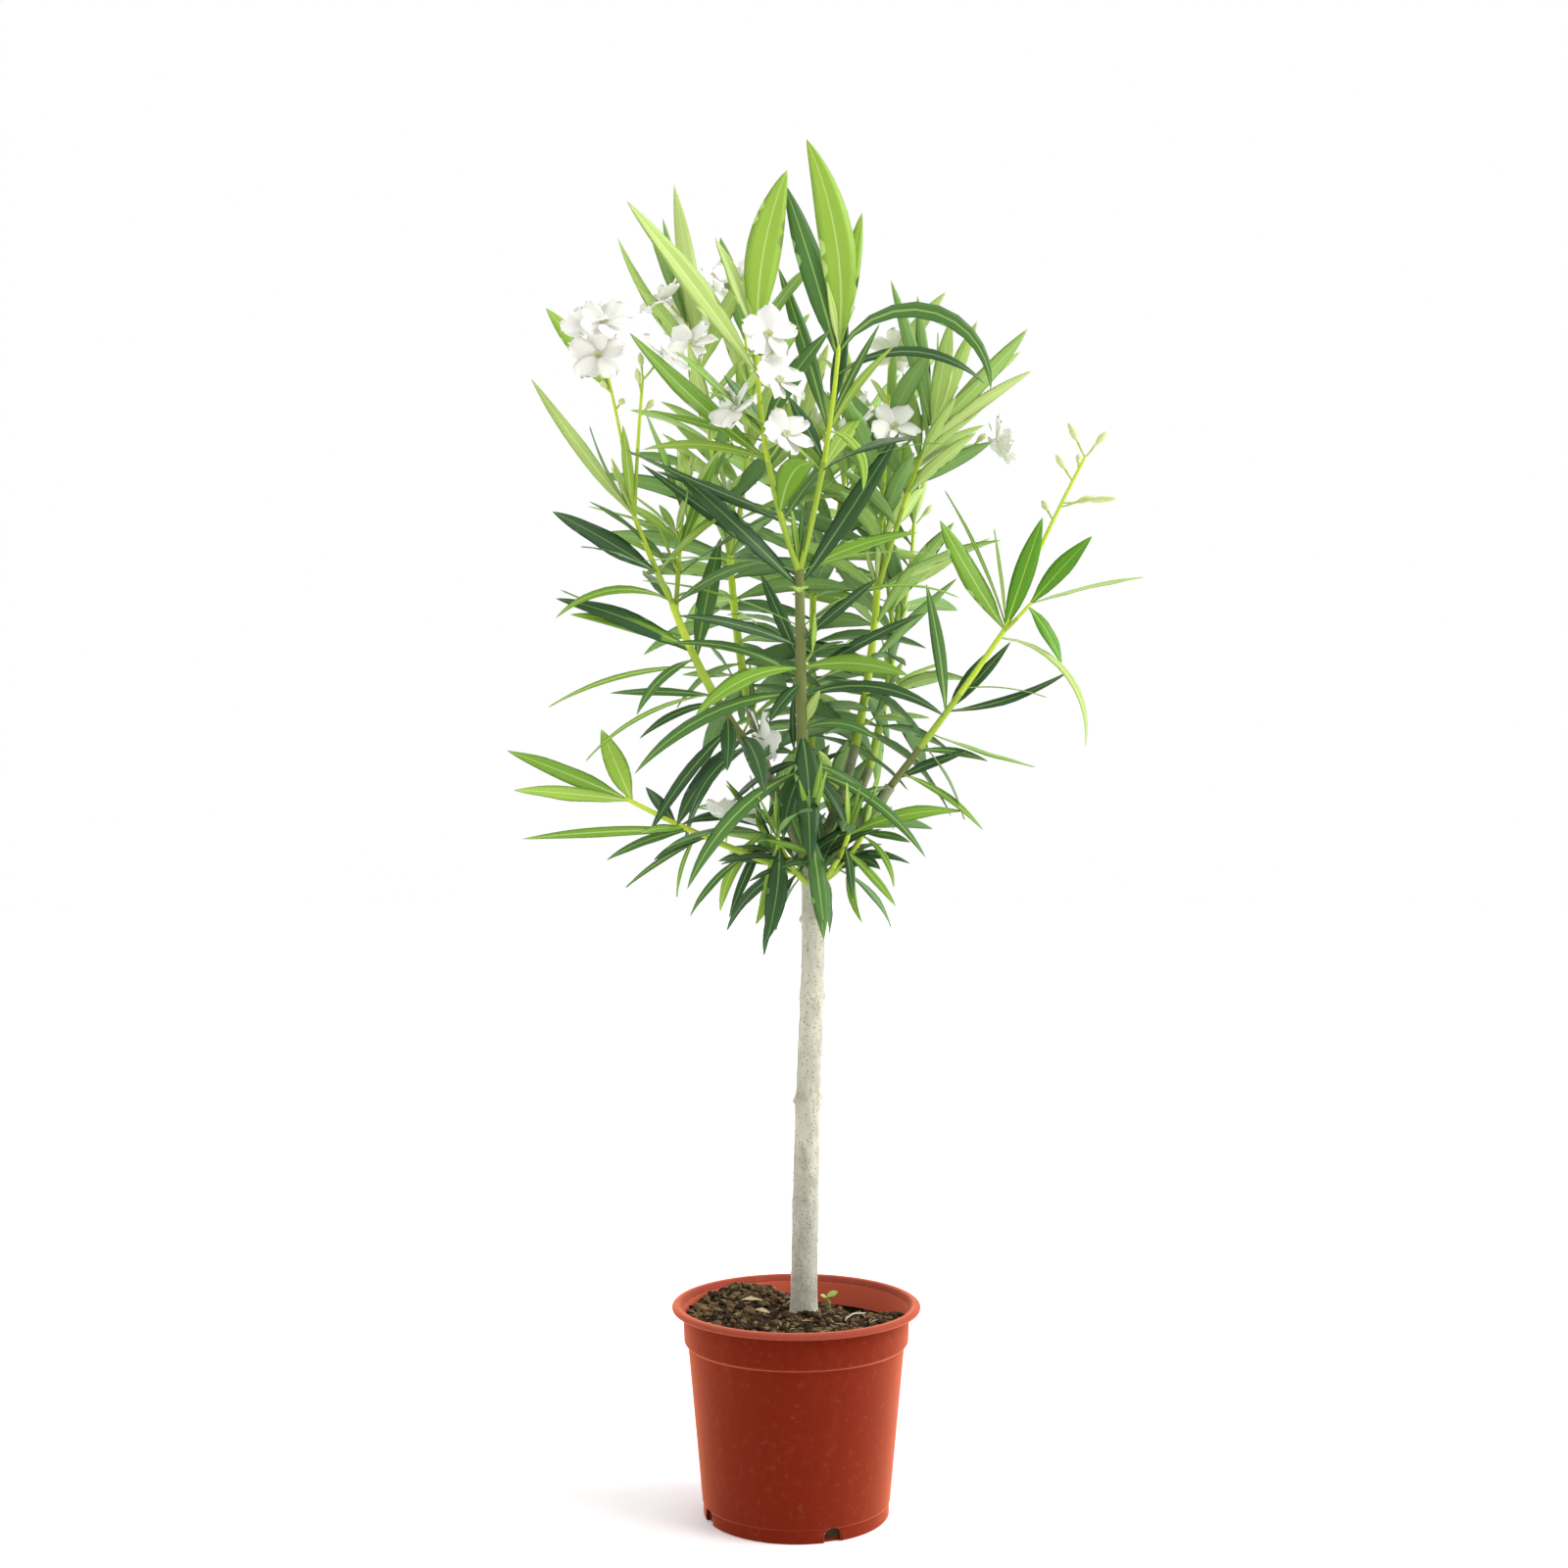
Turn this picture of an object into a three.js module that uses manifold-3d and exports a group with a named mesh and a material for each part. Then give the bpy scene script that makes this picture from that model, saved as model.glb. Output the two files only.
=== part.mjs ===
// Potted oleander: a young standard in flower, in a 21 cm nursery pot.
// Millimetres, +Z up, +X to the viewer's right, +Y away from the viewer.
// The origin is the centre of the pot's flat underside.

import * as THREE from 'three';
import { mergeVertices } from 'three/addons/utils/BufferGeometryUtils.js';
import Module from 'manifold-3d';

const wasm = await Module();
wasm.setup();

// Clearances
const GAP = 0.3;
const LEAF_CLEARANCE = 0.4;

// Pot
const POT_HEIGHT = 177;
const WALL = 1.6;
const LIP_RADIUS = 105;
const LIP_INNER_RADIUS = 95;
const LIP_THICKNESS = 5.2;
const COLLAR_TOP_RADIUS = 95.6;
const COLLAR_FOOT_RADIUS = 94.5;
const COLLAR_FOOT_Z = 145;
const STEP_HEIGHT = 2;
const BODY_TOP_RADIUS = 91.3;
const BODY_FOOT_RADIUS = 79.1;
const FOOT_BAND_RADIUS = 78.2;
const FOOT_BAND_HEIGHT = 11;
const FLOOR_THICKNESS = 3;
const EDGE = 1;
const LIP_EDGE = 1.6;
const POT_SIDES = 32;
const NOTCH_WIDTH = 15;
const NOTCH_HEIGHT = 12;
const NOTCH_DEPTH = 9;
const NOTCH_BEARINGS = [292, 22, 112, 202];

// Potting mix
const GROUND_Z = 165;
const SOIL_FLAT_RADIUS = 27;
const SOIL_SLOPE_RADIUS = 46;
const SOIL_RINGS = [74, 50, 21];
const SOIL_HEAPS = [
  { x: -42, y: 34, radius: 34, height: 16 },
  { x: -62, y: -22, radius: 30, height: 7 },
  { x: 60, y: 52, radius: 34, height: -13 },
  { x: 58, y: -30, radius: 26, height: 5 },
];

// Trunk
const TRUNK_FOOT_X = 6.2;
const TRUNK_DRIFT = 6.3;
const TRUNK_BOW = 3.2;
const TRUNK_HEIGHT = 392;
const TRUNK_FOOT_RADIUS = 10.6;
const TRUNK_TIP_RADIUS = 8.2;
const ROOT_FLARE = 1.6;
const ROOT_FLARE_HEIGHT = 9;
const TRUNK_SIDES = 10;
const TRUNK_SEGMENTS = 22;
const KNOTS = [
  { height: 96, swell: 0.5 },
  { height: 183, swell: 0.9 },
  { height: 271, swell: 0.8 },
  { height: 335, swell: 0.7 },
];
const KNOT_HALF_LENGTH = 7;

// Leaves: where the rings of a blade lie along it, and how wide it is there
const BLADE_RINGS = [0, 0.3, 0.67, 1];
const BLADE_WIDTHS = [0.08, 0.94, 0.86, 0];
const BLADE_SIDES = 3;
const BLADE_SIDE_REACH = Math.sin(Math.PI / 3);
const BLADE_THICKNESS = 0.0085;
const PETIOLE_THICKNESS = 0.6;
const LEAF_SLIMNESS = 0.16;
const PROBE_START = 7;
const BLOOM_PROBE_START = 8;
const LEAVES_IN_WHORL = 3;
const WHORL_TURN = 60;
const LEAF_TURN = 360 / LEAVES_IN_WHORL;
const LAST_WHORL = 0.97;
const FALL_OUTWARD = 0.6;
const NUDGES = [0, 9, -9, 18, -18, 27, -27];
const LIFTS = [0, 8, -8, 16];
const BLOOM_NUDGES = [0, 18, -18, 36, -36, 54, -54];
const SPREAD = { turn: 20, open: 16, bend: 18, length: 0.22, width: 0.2, roll: 56 };

// Blades turn their upper side to the open air: up, and away from a plane through the crown
const FACING_UP = 0.7;
const FACING_PLANE_Y = 34;
const WHORL_FACING = { share: 0.72, limit: 90 };
const SINGLE_FACING = { share: 1, limit: 180 };

// Flowers
const FLOWER_RADIUS = 23.5;
const PETAL_EDGE = [0.6, 1];
const PETALS = 5;
const THROAT_DEPTH = 3;
const TUBE_TOP = 4.5;
const TUBE_LENGTH = 11;
const PEDICEL_RADIUS = 0.9;
const TUBE_RADIUS = 2.2;
const BUD_RADIUS = 2.7;
const BUD_SHOULDER = 0.66;

// Limbs that bear no leaves. Each springs from the trunk at a part of its height.
const BOUGHS = [
  { name: 'bough_leader', at: 0.975, bearing: [240, 250], lean: [15, 11], length: 78, radius: [6.4, 5.4] },
  { name: 'bough_left', at: 0.955, bearing: [199, 195], lean: [24, 31], length: 116, radius: [5.4, 4.4] },
  { name: 'bough_right', at: 0.965, bearing: [350, 352], lean: [50, 38], length: 96, radius: [5.4, 4.5] },
  { name: 'bough_inner_right', at: 0.98, bearing: [46, 42], lean: [40, 17], length: 112, radius: [5, 4.1] },
  { name: 'bough_back_left', at: 0.97, bearing: [142, 136], lean: [38, 16], length: 158, radius: [5.2, 4.1] },
  { name: 'bough_back', at: 0.965, bearing: [92, 88], lean: [46, 24], length: 124, radius: [5, 4] },
  { name: 'bough_back_right', at: 0.96, bearing: [56, 54], lean: [56, 36], length: 124, radius: [5, 4] },
];

// Leafy shoots. The first shoot of a mass grows on from a bough's tip or from the trunk, and the
// others fork off a shoot named before them. Whorls of three leaves run from `first` to the tip.
// leaf, open and bend go from the lowest whorl to the highest: a leaf's length, its angle from the
// stem and how far it arches over.
// blooms and buds: [back from the tip, bearing, lean, stalk length].
const SHOOTS = [
  { name: 'leader', on: 'bough_leader', bearing: [262, 264], lean: [11, 6], length: 172,
    radius: [5.3, 3.8], first: 10, whorls: 3, leaf: [112, 124], open: [98, 66], bend: [50, 26] },
  { name: 'leader_left', on: 'leader', at: 0.97, bearing: [216, 208], lean: [26, -2], length: 200,
    radius: [2.7, 1.8], first: 44, whorls: 3, leaf: [112, 96], open: [52, 24], bend: [22, 14],
    blooms: [[10, 292, 80, 26], [58, 304, 62, 34], [104, 300, 60, 36], [84, 226, 62, 40]] },
  { name: 'leader_right', on: 'leader', at: 0.98, bearing: [332, 336], lean: [17, 5], length: 188,
    radius: [2.7, 1.8], first: 84, whorls: 1, leaf: [116, 100], open: [50, 20], bend: [24, 12] },
  { name: 'left', on: 'bough_left', bearing: [195, 190], lean: [38, 19], length: 142,
    radius: [4.3, 3], first: 14, whorls: 2, leaf: [108, 104], open: [100, 66], bend: [48, 24] },
  { name: 'left_upper', on: 'left', at: 0.97, bearing: [187, 187], lean: [27, 20], length: 84,
    radius: [2.6, 1.9], first: 30, whorls: 1, leaf: [98, 86], open: [58, 38], bend: [20, 12] },
  { name: 'left_inner', on: 'left', at: 0.93, bearing: [84, 80], lean: [22, 12], length: 96,
    radius: [2.2, 1.6], first: 34, whorls: 3, leaf: [92, 78], open: [50, 26], bend: [18, 10] },
  { name: 'left_stalk', on: 'left_upper', at: 0.96, bearing: [320, 330], lean: [3, 6], length: 116,
    radius: [1.7, 1.2],
    blooms: [[4, 342, 42, 30], [16, 262, 46, 28]], buds: [[2, 110, 20, 24], [34, 30, 40, 20]] },
  { name: 'left_far_stalk', on: 'left_upper', at: 0.94, bearing: [200, 196], lean: [9, 14], length: 130,
    radius: [1.6, 1.2],
    blooms: [[2, 302, 38, 30], [4, 224, 34, 29], [20, 270, 78, 30], [0, 8, 32, 42], [22, 206, 56, 25],
      [12, 96, 56, 26]] },
  { name: 'right', on: 'bough_right', bearing: [352, 354], lean: [38, 34], length: 168,
    radius: [4.4, 2.9] },
  { name: 'right_stalk', on: 'right', at: 0.97, bearing: [350, 353], lean: [22, 28], length: 158,
    radius: [2.1, 1.3],
    buds: [[2, 182, 26, 32], [2, 352, 40, 28], [48, 352, 74, 30], [44, 340, 88, 46], [24, 190, 34, 26],
      [14, 80, 50, 26], [60, 120, 40, 24]] },
  { name: 'right_side', on: 'right', at: 0.95, bearing: [334, 340], lean: [50, 42], length: 34,
    radius: [1.9, 1.5] },
  { name: 'inner_right', on: 'bough_inner_right', bearing: [42, 36], lean: [17, 4], length: 142,
    radius: [4, 3], first: 16, whorls: 3, leaf: [112, 112], open: [98, 66], bend: [50, 26] },
  { name: 'inner_right_a', on: 'inner_right', at: 0.97, bearing: [66, 40], lean: [8, 4], length: 204,
    radius: [2.6, 1.7], first: 34, whorls: 4, leaf: [108, 92], open: [60, 26], bend: [24, 12],
    blooms: [[60, 216, 76, 34], [74, 284, 66, 32], [8, 80, 44, 30]] },
  { name: 'inner_right_b', on: 'inner_right', at: 0.96, bearing: [344, 350], lean: [16, 22], length: 154,
    radius: [2.5, 1.7], first: 30, whorls: 3, leaf: [106, 100], open: [58, 26], bend: [22, 12] },
  { name: 'inner_right_c', on: 'inner_right_b', at: 0.7, bearing: [0, 2], lean: [61, 73], length: 62,
    radius: [1.6, 1.2],
    blooms: [[2, 0, 84, 20]], buds: [[10, 330, 50, 20]] },
  { name: 'back_left', on: 'bough_back_left', bearing: [136, 130], lean: [16, 5], length: 134,
    radius: [4, 2.9], first: 16, whorls: 4, leaf: [112, 112], open: [98, 66], bend: [50, 26] },
  { name: 'back_left_a', on: 'back_left', at: 0.97, bearing: [160, 164], lean: [12, 6], length: 174,
    radius: [2.5, 1.7], first: 40, whorls: 3, leaf: [108, 92], open: [60, 30], bend: [22, 12],
    blooms: [[8, 256, 58, 38]] },
  { name: 'back_left_stalk', on: 'back_left_a', at: 0.97, bearing: [176, 170], lean: [18, 20], length: 46,
    radius: [1.5, 1.2], blooms: [[0, 206, 48, 28], [2, 344, 44, 42], [8, 96, 60, 28]] },
  { name: 'back_left_b', on: 'back_left', at: 0.96, bearing: [64, 72], lean: [27, 6], length: 160,
    radius: [2.5, 1.7], first: 40, whorls: 3, leaf: [106, 92], open: [58, 28], bend: [22, 12] },
  { name: 'back_left_b_stalk', on: 'back_left_b', at: 0.97, bearing: [176, 184], lean: [4, 8], length: 92,
    radius: [1.5, 1.2], blooms: [[0, 262, 40, 26], [8, 80, 56, 28]] },
  { name: 'back', on: 'bough_back', bearing: [88, 84], lean: [24, 10], length: 150,
    radius: [3.9, 2.9], first: 14, whorls: 4, leaf: [112, 112], open: [98, 62], bend: [48, 24] },
  { name: 'back_a', on: 'back', at: 0.97, bearing: [116, 110], lean: [20, 6], length: 158,
    radius: [2.5, 1.7], first: 38, whorls: 3, leaf: [108, 96], open: [60, 28], bend: [22, 12],
    blooms: [[6, 70, 50, 30], [24, 150, 62, 30]] },
  { name: 'back_b', on: 'back', at: 0.96, bearing: [30, 44], lean: [24, 8], length: 150,
    radius: [2.5, 1.7], first: 38, whorls: 3, leaf: [106, 96], open: [60, 28], bend: [22, 12] },
  { name: 'back_right', on: 'bough_back_right', bearing: [66, 66], lean: [36, 22], length: 140,
    radius: [3.9, 2.9], first: 16, whorls: 3, leaf: [108, 104], open: [98, 62], bend: [46, 24] },
  { name: 'back_right_a', on: 'back_right', at: 0.97, bearing: [50, 70], lean: [26, 10], length: 118,
    radius: [2.4, 1.6], first: 30, whorls: 3, leaf: [100, 90], open: [58, 28], bend: [22, 12],
    blooms: [[4, 20, 44, 28], [18, 90, 64, 30]] },
  { name: 'back_right_b', on: 'back_right', at: 0.95, bearing: [112, 100], lean: [20, 8], length: 128,
    radius: [2.4, 1.6], first: 30, whorls: 3, leaf: [104, 92], open: [58, 28], bend: [22, 12] },
  { name: 'low_left', on: 'trunk', at: 0.945, bearing: [192, 190], lean: [72, 59], length: 174,
    radius: [3.2, 1.9] },
];

// Single leaves set by hand: [along, bearing, lean, length, width, bend, roll]
const SINGLE_LEAVES = {
  leader: [
    [155, 196, 46, 148, 19, 6, 0], [157, 348, 36, 150, 18, -4, 0], [169, 184, 76, 132, 8, 22, -50],
    [169, 354, 68, 110, 5, 30, 55], [123, 188, 62, 138, 8, 25, -45], [110, 342, 50, 84, 11, 5, 0],
    [121, 348, 44, 144, 7, 72, 40], [106, 202, 68, 110, 12, 20, 0], [80, 348, 58, 116, 11, 10, 0],
    [80, 192, 56, 116, 9, 40, 0], [76, 228, 120, 52, 12, 20, 0], [67, 200, 90, 164, 13, 50, 0],
    [64, 340, 68, 130, 12, 60, 0], [3, 212, 108, 152, 14, 46, 0], [3, 334, 100, 136, 10, 46, 0],
    [33, 280, 132, 96, 22, 40, 0], [90, 152, 24, 88, 12, 4, 0], [39, 318, 28, 36, 10, 10, 0],
    [37, 332, 68, 74, 10, 60, 0], [163, 168, 54, 168, 12, 0, 0], [1, 244, 120, 70, 13, 50, 0],
  ],
  leader_left: [
    [165, 190, 35, 174, 21, 6, 0], [197, 350, -2, 140, 29, -24, 0], [96, 186, 54, 152, 19, -12, 0],
    [50, 194, 72, 138, 7, -6, 0], [68, 308, 36, 48, 10, 64, 0], [96, 186, 68, 104, 11, 36, 0],
    [112, 174, 74, 98, 9, 0, 0],
  ],
  leader_right: [
    [184, 343, 7, 174, 29, -31, 0], [176, 182, 14, 150, 22, 6, 0], [186, 14, 8, 114, 16, 6, 0],
    [180, 350, 36, 166, 16, 124, 0], [162, 356, 52, 134, 11, 84, 0], [125, 346, 26, 88, 7, 4, 0],
    [133, 30, 10, 82, 12, 4, 0], [116, 340, 28, 88, 8, 24, 0], [92, 200, 28, 60, 12, 6, 0],
    [117, 328, 100, 68, 9, 96, 0], [65, 352, 44, 114, 4, 50, 55], [116, 148, 16, 150, 14, 6, 0],
  ],
  left: [
    [12, 196, 127, 93, 17, 30, 0],
    [96, 188, 58, 122, 18, 22, 0], [100, 188, 64, 104, 13, 22, 10], [142, 196, 64, 106, 8, 72, 0],
    [82, 184, 88, 132, 5, 34, 55], [55, 168, 82, 92, 9, 12, 0], [90, 212, 106, 76, 9, 50, 0],
    [48, 196, 94, 76, 8, 40, 0], [109, 180, 72, 112, 3, -6, 60], [35, 276, 124, 62, 13, 30, 0],
    [26, 188, 132, 114, 12, 20, 0], [5, 212, 112, 86, 10, 50, 0], [57, 186, 96, 124, 4, 44, 50],
    [89, 54, 14, 110, 17, 6, 0],
  ],
  left_upper: [
    [44, 192, 57, 97, 21, 8, 0], [80, 184, 40, 142, 13, -6, 0], [84, 190, 38, 80, 3, -22, 60],
    [84, 232, 10, 72, 9, 0, 0],
  ],
  left_inner: [
    [56, 352, 20, 88, 10, 6, 0],
  ],
  left_far_stalk: [
    [104, 186, 34, 88, 18, 8, 0],
  ],
  right: [
    [162, 184, 34, 106, 20, -6, 0], [162, 350, 18, 96, 18, 2, 0], [77, 242, 10, 110, 11, 10, 0],
    [79, 354, 80, 106, 9, -15, 0], [103, 352, 84, 70, 5, 26, 45], [80, 20, 36, 60, 11, 0, 0],
    [79, 16, 46, 82, 10, -5, 0], [56, 352, 112, 92, 8, -8, 30], [38, 350, 84, 60, 8, 30, 0],
    [8, 348, 64, 64, 10, 10, 0], [14, 336, 108, 88, 7, 30, 0], [45, 328, 134, 76, 5, 30, 40],
    [164, 168, 16, 128, 4, 16, 55], [164, 182, 4, 84, 4, 6, 50], [0, 204, 96, 72, 10, 56, 0],
  ],
  right_side: [
    [32, 350, 41, 76, 17, 4, 0], [33, 346, 74, 96, 10, 8, 30], [30, 0, 134, 58, 13, 30, 0],
    [28, 336, 130, 122, 9, 50, 0],
  ],
  inner_right: [
    [74, 344, 44, 106, 10, 6, 0], [106, 336, 32, 84, 9, 6, 0], [141, 12, 70, 114, 9, -8, 0],
  ],
  inner_right_b: [
    [150, 0, 48, 112, 12, 12, 0], [146, 332, 24, 102, 14, 6, 0], [150, 188, 14, 132, 12, 4, 0],
    [138, 200, 2, 126, 12, 4, 0], [97, 344, 60, 80, 15, 8, 0], [147, 352, 48, 120, 17, -8, 0],
  ],
  back_left: [
    [122, 172, 60, 100, 14, 8, 0], [132, 180, 66, 132, 6, 10, 40],
  ],
  back_left_a: [
    [172, 200, 8, 158, 17, 4, 0], [170, 184, 44, 136, 10, -22, 0],
  ],
  back_left_stalk: [
    [38, 174, 20, 96, 8, 4, 0], [39, 156, 14, 102, 9, 0, 0],
  ],
  back_left_b_stalk: [
    [50, 200, 12, 96, 16, 6, 0], [55, 0, 4, 90, 8, 0, 0],
  ],
  low_left: [
    [170, 184, 66, 108, 17, 4, 0], [168, 202, 82, 100, 15, 6, 0], [150, 176, 24, 68, 19, 4, 0],
    [112, 184, 89, 140, 9, 8, 45], [112, 196, 96, 76, 9, 26, 0], [98, 192, 112, 80, 5, 20, 30],
    [96, 212, 96, 56, 8, 26, 0], [105, 226, 134, 60, 4, 40, 30], [115, 216, 84, 48, 8, 20, 0],
    [125, 192, 40, 40, 11, 0, 0], [59, 200, 118, 74, 7, 34, 0],
  ],
  skirt_1: [
    [70, 358, 172, 88, 15, 26, 0],
  ],
  skirt_2: [
    [58, 272, 168, 84, 18, 20, 0], [64, 92, 170, 76, 13, 40, 0],
  ],
  skirt_3: [
    [54, 332, 124, 68, 8, 20, 0], [58, 284, 130, 50, 7, 50, 0],
  ],
  skirt_4: [
    [53, 180, 156, 72, 8, 60, 0], [60, 332, 116, 54, 6, 60, 0], [62, 332, 86, 44, 8, 26, 0],
  ],
  skirt_7: [
    [65, 200, 126, 82, 11, 50, 0], [62, 236, 136, 82, 9, 36, 0],
  ],
};

// Short drooping shoots round the trunk's head
const SKIRT_SHOOTS = [
  { bearing: 268, at: 0.935, length: 74, whorls: 1 },
  { bearing: 230, at: 0.925, length: 66, whorls: 2 },
  { bearing: 306, at: 0.925, length: 70, whorls: 2 },
  { bearing: 344, at: 0.935, length: 62, whorls: 1 },
  { bearing: 64, at: 0.935, length: 68, whorls: 2 },
  { bearing: 106, at: 0.925, length: 70, whorls: 2 },
  { bearing: 150, at: 0.935, length: 70, whorls: 2 },
  { bearing: 22, at: 0.925, length: 58, whorls: 2 },
];
const SKIRT_LEAN = [68, 26];
const SKIRT_RADIUS = [2.8, 1.9];
const SKIRT_LEAF = { first: 24, leaf: [78, 92], open: [60, 46], bend: [50, 40] };

const LIMB_STEPS = 12;
const STEM_SIDES = 4;
const FORK_SIDES = 3;
const STALK_SIDES = 3;
const FORK_RADIUS = 3;
const STALK_RADIUS = 1.75;
const BOUGH_SIDES = 8;
const BOUGH_SEGMENTS = 4;
const STEM_SEGMENT = 34;

const SMALLEST_DETAIL = 0.05;
const NEARLY_UPRIGHT = 0.05;
const SEED_STEPS = { first: 131, second: 17, letter: 31 };

const COLOURS = { pot: 0xa63a22, soil: 0x33261d, bark: 0xb9b09c, youngBark: 0x6f8a4a, foliage: 0x4f8a45 };
const ROUGHNESS = { pot: 0.45, soil: 0.95, bark: 0.85, youngBark: 0.7, foliage: 0.55 };

const UP = new THREE.Vector3(0, 0, 1);
const radians = THREE.MathUtils.degToRad;
const lerp = THREE.MathUtils.lerp;

// A repeatable stream of numbers from 0 to 1
function drawer(seed) {
  let state = seed >>> 0;
  return () => {
    state = (state + 0x6d2b79f5) >>> 0;
    let mixed = Math.imul(state ^ (state >>> 15), 1 | state);
    mixed = (mixed + Math.imul(mixed ^ (mixed >>> 7), 61 | mixed)) ^ mixed;
    return ((mixed ^ (mixed >>> 14)) >>> 0) / 2 ** 32;
  };
}

// A seed from a name and two counts
function seedOf(name, first, second) {
  let seed = first * SEED_STEPS.first + second * SEED_STEPS.second;
  for (const letter of name) seed = (seed * SEED_STEPS.letter + letter.charCodeAt(0)) >>> 0;
  return seed;
}

// A closed geometry as a solid that can be joined and cut
function solidOf(geometry) {
  geometry.deleteAttribute('normal');
  geometry.deleteAttribute('uv');
  const merged = mergeVertices(geometry);
  return new wasm.Manifold(new wasm.Mesh({
    numProp: 3,
    vertProperties: new Float32Array(merged.attributes.position.array),
    triVerts: new Uint32Array(merged.index.array),
  }));
}

// Moves every vertex of a geometry to where `place` puts it
function reshape(geometry, place) {
  const positions = geometry.attributes.position;
  for (let i = 0; i < positions.count; i += 1) {
    const moved = place(positions.getX(i), positions.getY(i), positions.getZ(i));
    positions.setXYZ(i, moved.x, moved.y, moved.z);
  }
  return geometry;
}

// The one main body of a solid, without loose scraps or sealed hollows
function mainBody(solid) {
  const bodies = solid.decompose();
  return bodies.reduce((best, body) => (body.volume() > best.volume() ? body : best));
}

// A unit vector from a bearing round +Z and a lean from the vertical, in degrees
function heading(bearing, lean) {
  const level = Math.sin(radians(lean));
  return new THREE.Vector3(
    level * Math.cos(radians(bearing)),
    level * Math.sin(radians(bearing)),
    Math.cos(radians(lean)),
  );
}

// A limb that walks from its foot while its bearing and lean change evenly
function limb({ name, foot, bearing, lean, length, radius }) {
  const direction = (s) => heading(lerp(bearing[0], bearing[1], s), lerp(lean[0], lean[1], s));
  const points = [foot];
  for (let i = 0; i < LIMB_STEPS; i += 1) {
    const step = direction((i + 0.5) / LIMB_STEPS).multiplyScalar(length / LIMB_STEPS);
    points.push(points[i].clone().add(step));
  }
  return {
    name,
    length,
    direction,
    side: (s) => new THREE.Vector3(0, 0, 1).cross(heading(lerp(bearing[0], bearing[1], s), 90)),
    point: (s) => {
      const reach = Math.min(Math.max(s, 0) * LIMB_STEPS, LIMB_STEPS - 1e-9);
      const i = Math.floor(reach);
      return points[i].clone().lerp(points[i + 1], reach - i);
    },
    radius: (s) => lerp(radius[0], radius[1], s),
  };
}

// The trunk: a slow drift to the right with a bow near the top, a root flare and four old knots
function trunkLimb() {
  const point = (s) => new THREE.Vector3(
    TRUNK_FOOT_X + TRUNK_DRIFT * s + TRUNK_BOW * Math.sin(Math.PI * s ** 3),
    0,
    GROUND_Z + TRUNK_HEIGHT * s,
  );
  const radius = (s) => {
    const height = s * TRUNK_HEIGHT;
    const flare = ROOT_FLARE * Math.exp(-height / ROOT_FLARE_HEIGHT);
    const swell = KNOTS.reduce((sum, knot) => {
      const away = (height - knot.height) / KNOT_HALF_LENGTH;
      return sum + knot.swell * Math.exp(-away * away);
    }, 0);
    return lerp(TRUNK_FOOT_RADIUS, TRUNK_TIP_RADIUS, s ** 1.5) + flare + swell;
  };
  return {
    name: 'trunk',
    length: TRUNK_HEIGHT,
    point,
    radius,
    direction: () => UP.clone(),
    side: () => new THREE.Vector3(0, 1, 0),
  };
}

// A limb's solid: rings of equal sides along its line, flat at both ends
function limbSolid(path, sides, segments, extra = 0) {
  const tube = new THREE.CylinderGeometry(1, 1, 1, sides, segments);
  return solidOf(reshape(tube, (x, y, z) => {
    const s = y + 0.5;
    const along = path.direction(s);
    const side = path.side(s);
    const radius = path.radius(s) + extra;
    return path.point(s)
      .addScaledVector(side, x * radius)
      .addScaledVector(side.clone().cross(along), z * radius);
  }));
}

// The three directions of a leaf at t along it: outward, across and upward
function leafFrame(leaf, t) {
  const angle = radians(leaf.bend) * t;
  const along = leaf.out.clone().multiplyScalar(Math.cos(angle)).addScaledVector(leaf.fall, Math.sin(angle));
  const across = leaf.fall.clone().cross(leaf.out);
  const up = across.clone().cross(along);
  const roll = radians(leaf.roll);
  return {
    along,
    across: across.clone().multiplyScalar(Math.cos(roll)).addScaledVector(up, Math.sin(roll)),
    up: up.clone().multiplyScalar(Math.cos(roll)).addScaledVector(across, -Math.sin(roll)),
  };
}

// A point on the midrib, which is an arc of a circle
function leafPoint(leaf, t, length) {
  const whole = radians(leaf.bend) || 1e-6;
  return leaf.root.clone()
    .addScaledVector(leaf.out, (length * Math.sin(whole * t)) / whole)
    .addScaledVector(leaf.fall, (length * (1 - Math.cos(whole * t))) / whole);
}

// A leaf: a slim three-sided blade with its keel below, from a narrow root to a pointed tip
function leafSolid(leaf, extra = 0) {
  const rings = BLADE_RINGS.length - 1;
  const cone = new THREE.ConeGeometry(1, 1, BLADE_SIDES, rings, false, Math.PI / BLADE_SIDES);
  const length = leaf.length + extra;
  return solidOf(reshape(cone, (x, y, z) => {
    const ring = Math.round((y + 0.5) * rings);
    const t = BLADE_RINGS[ring];
    const shrink = 1 - ring / rings || 1;
    const width = (leaf.width / 2) * BLADE_WIDTHS[ring] + extra;
    const height = ring === 0 ? PETIOLE_THICKNESS : BLADE_THICKNESS * leaf.length + extra;
    const frame = leafFrame(leaf, t);
    return leafPoint(leaf, t, length)
      .addScaledVector(frame.across, (x / shrink / BLADE_SIDE_REACH) * width)
      .addScaledVector(frame.up, (z / shrink) * height);
  }));
}

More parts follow.
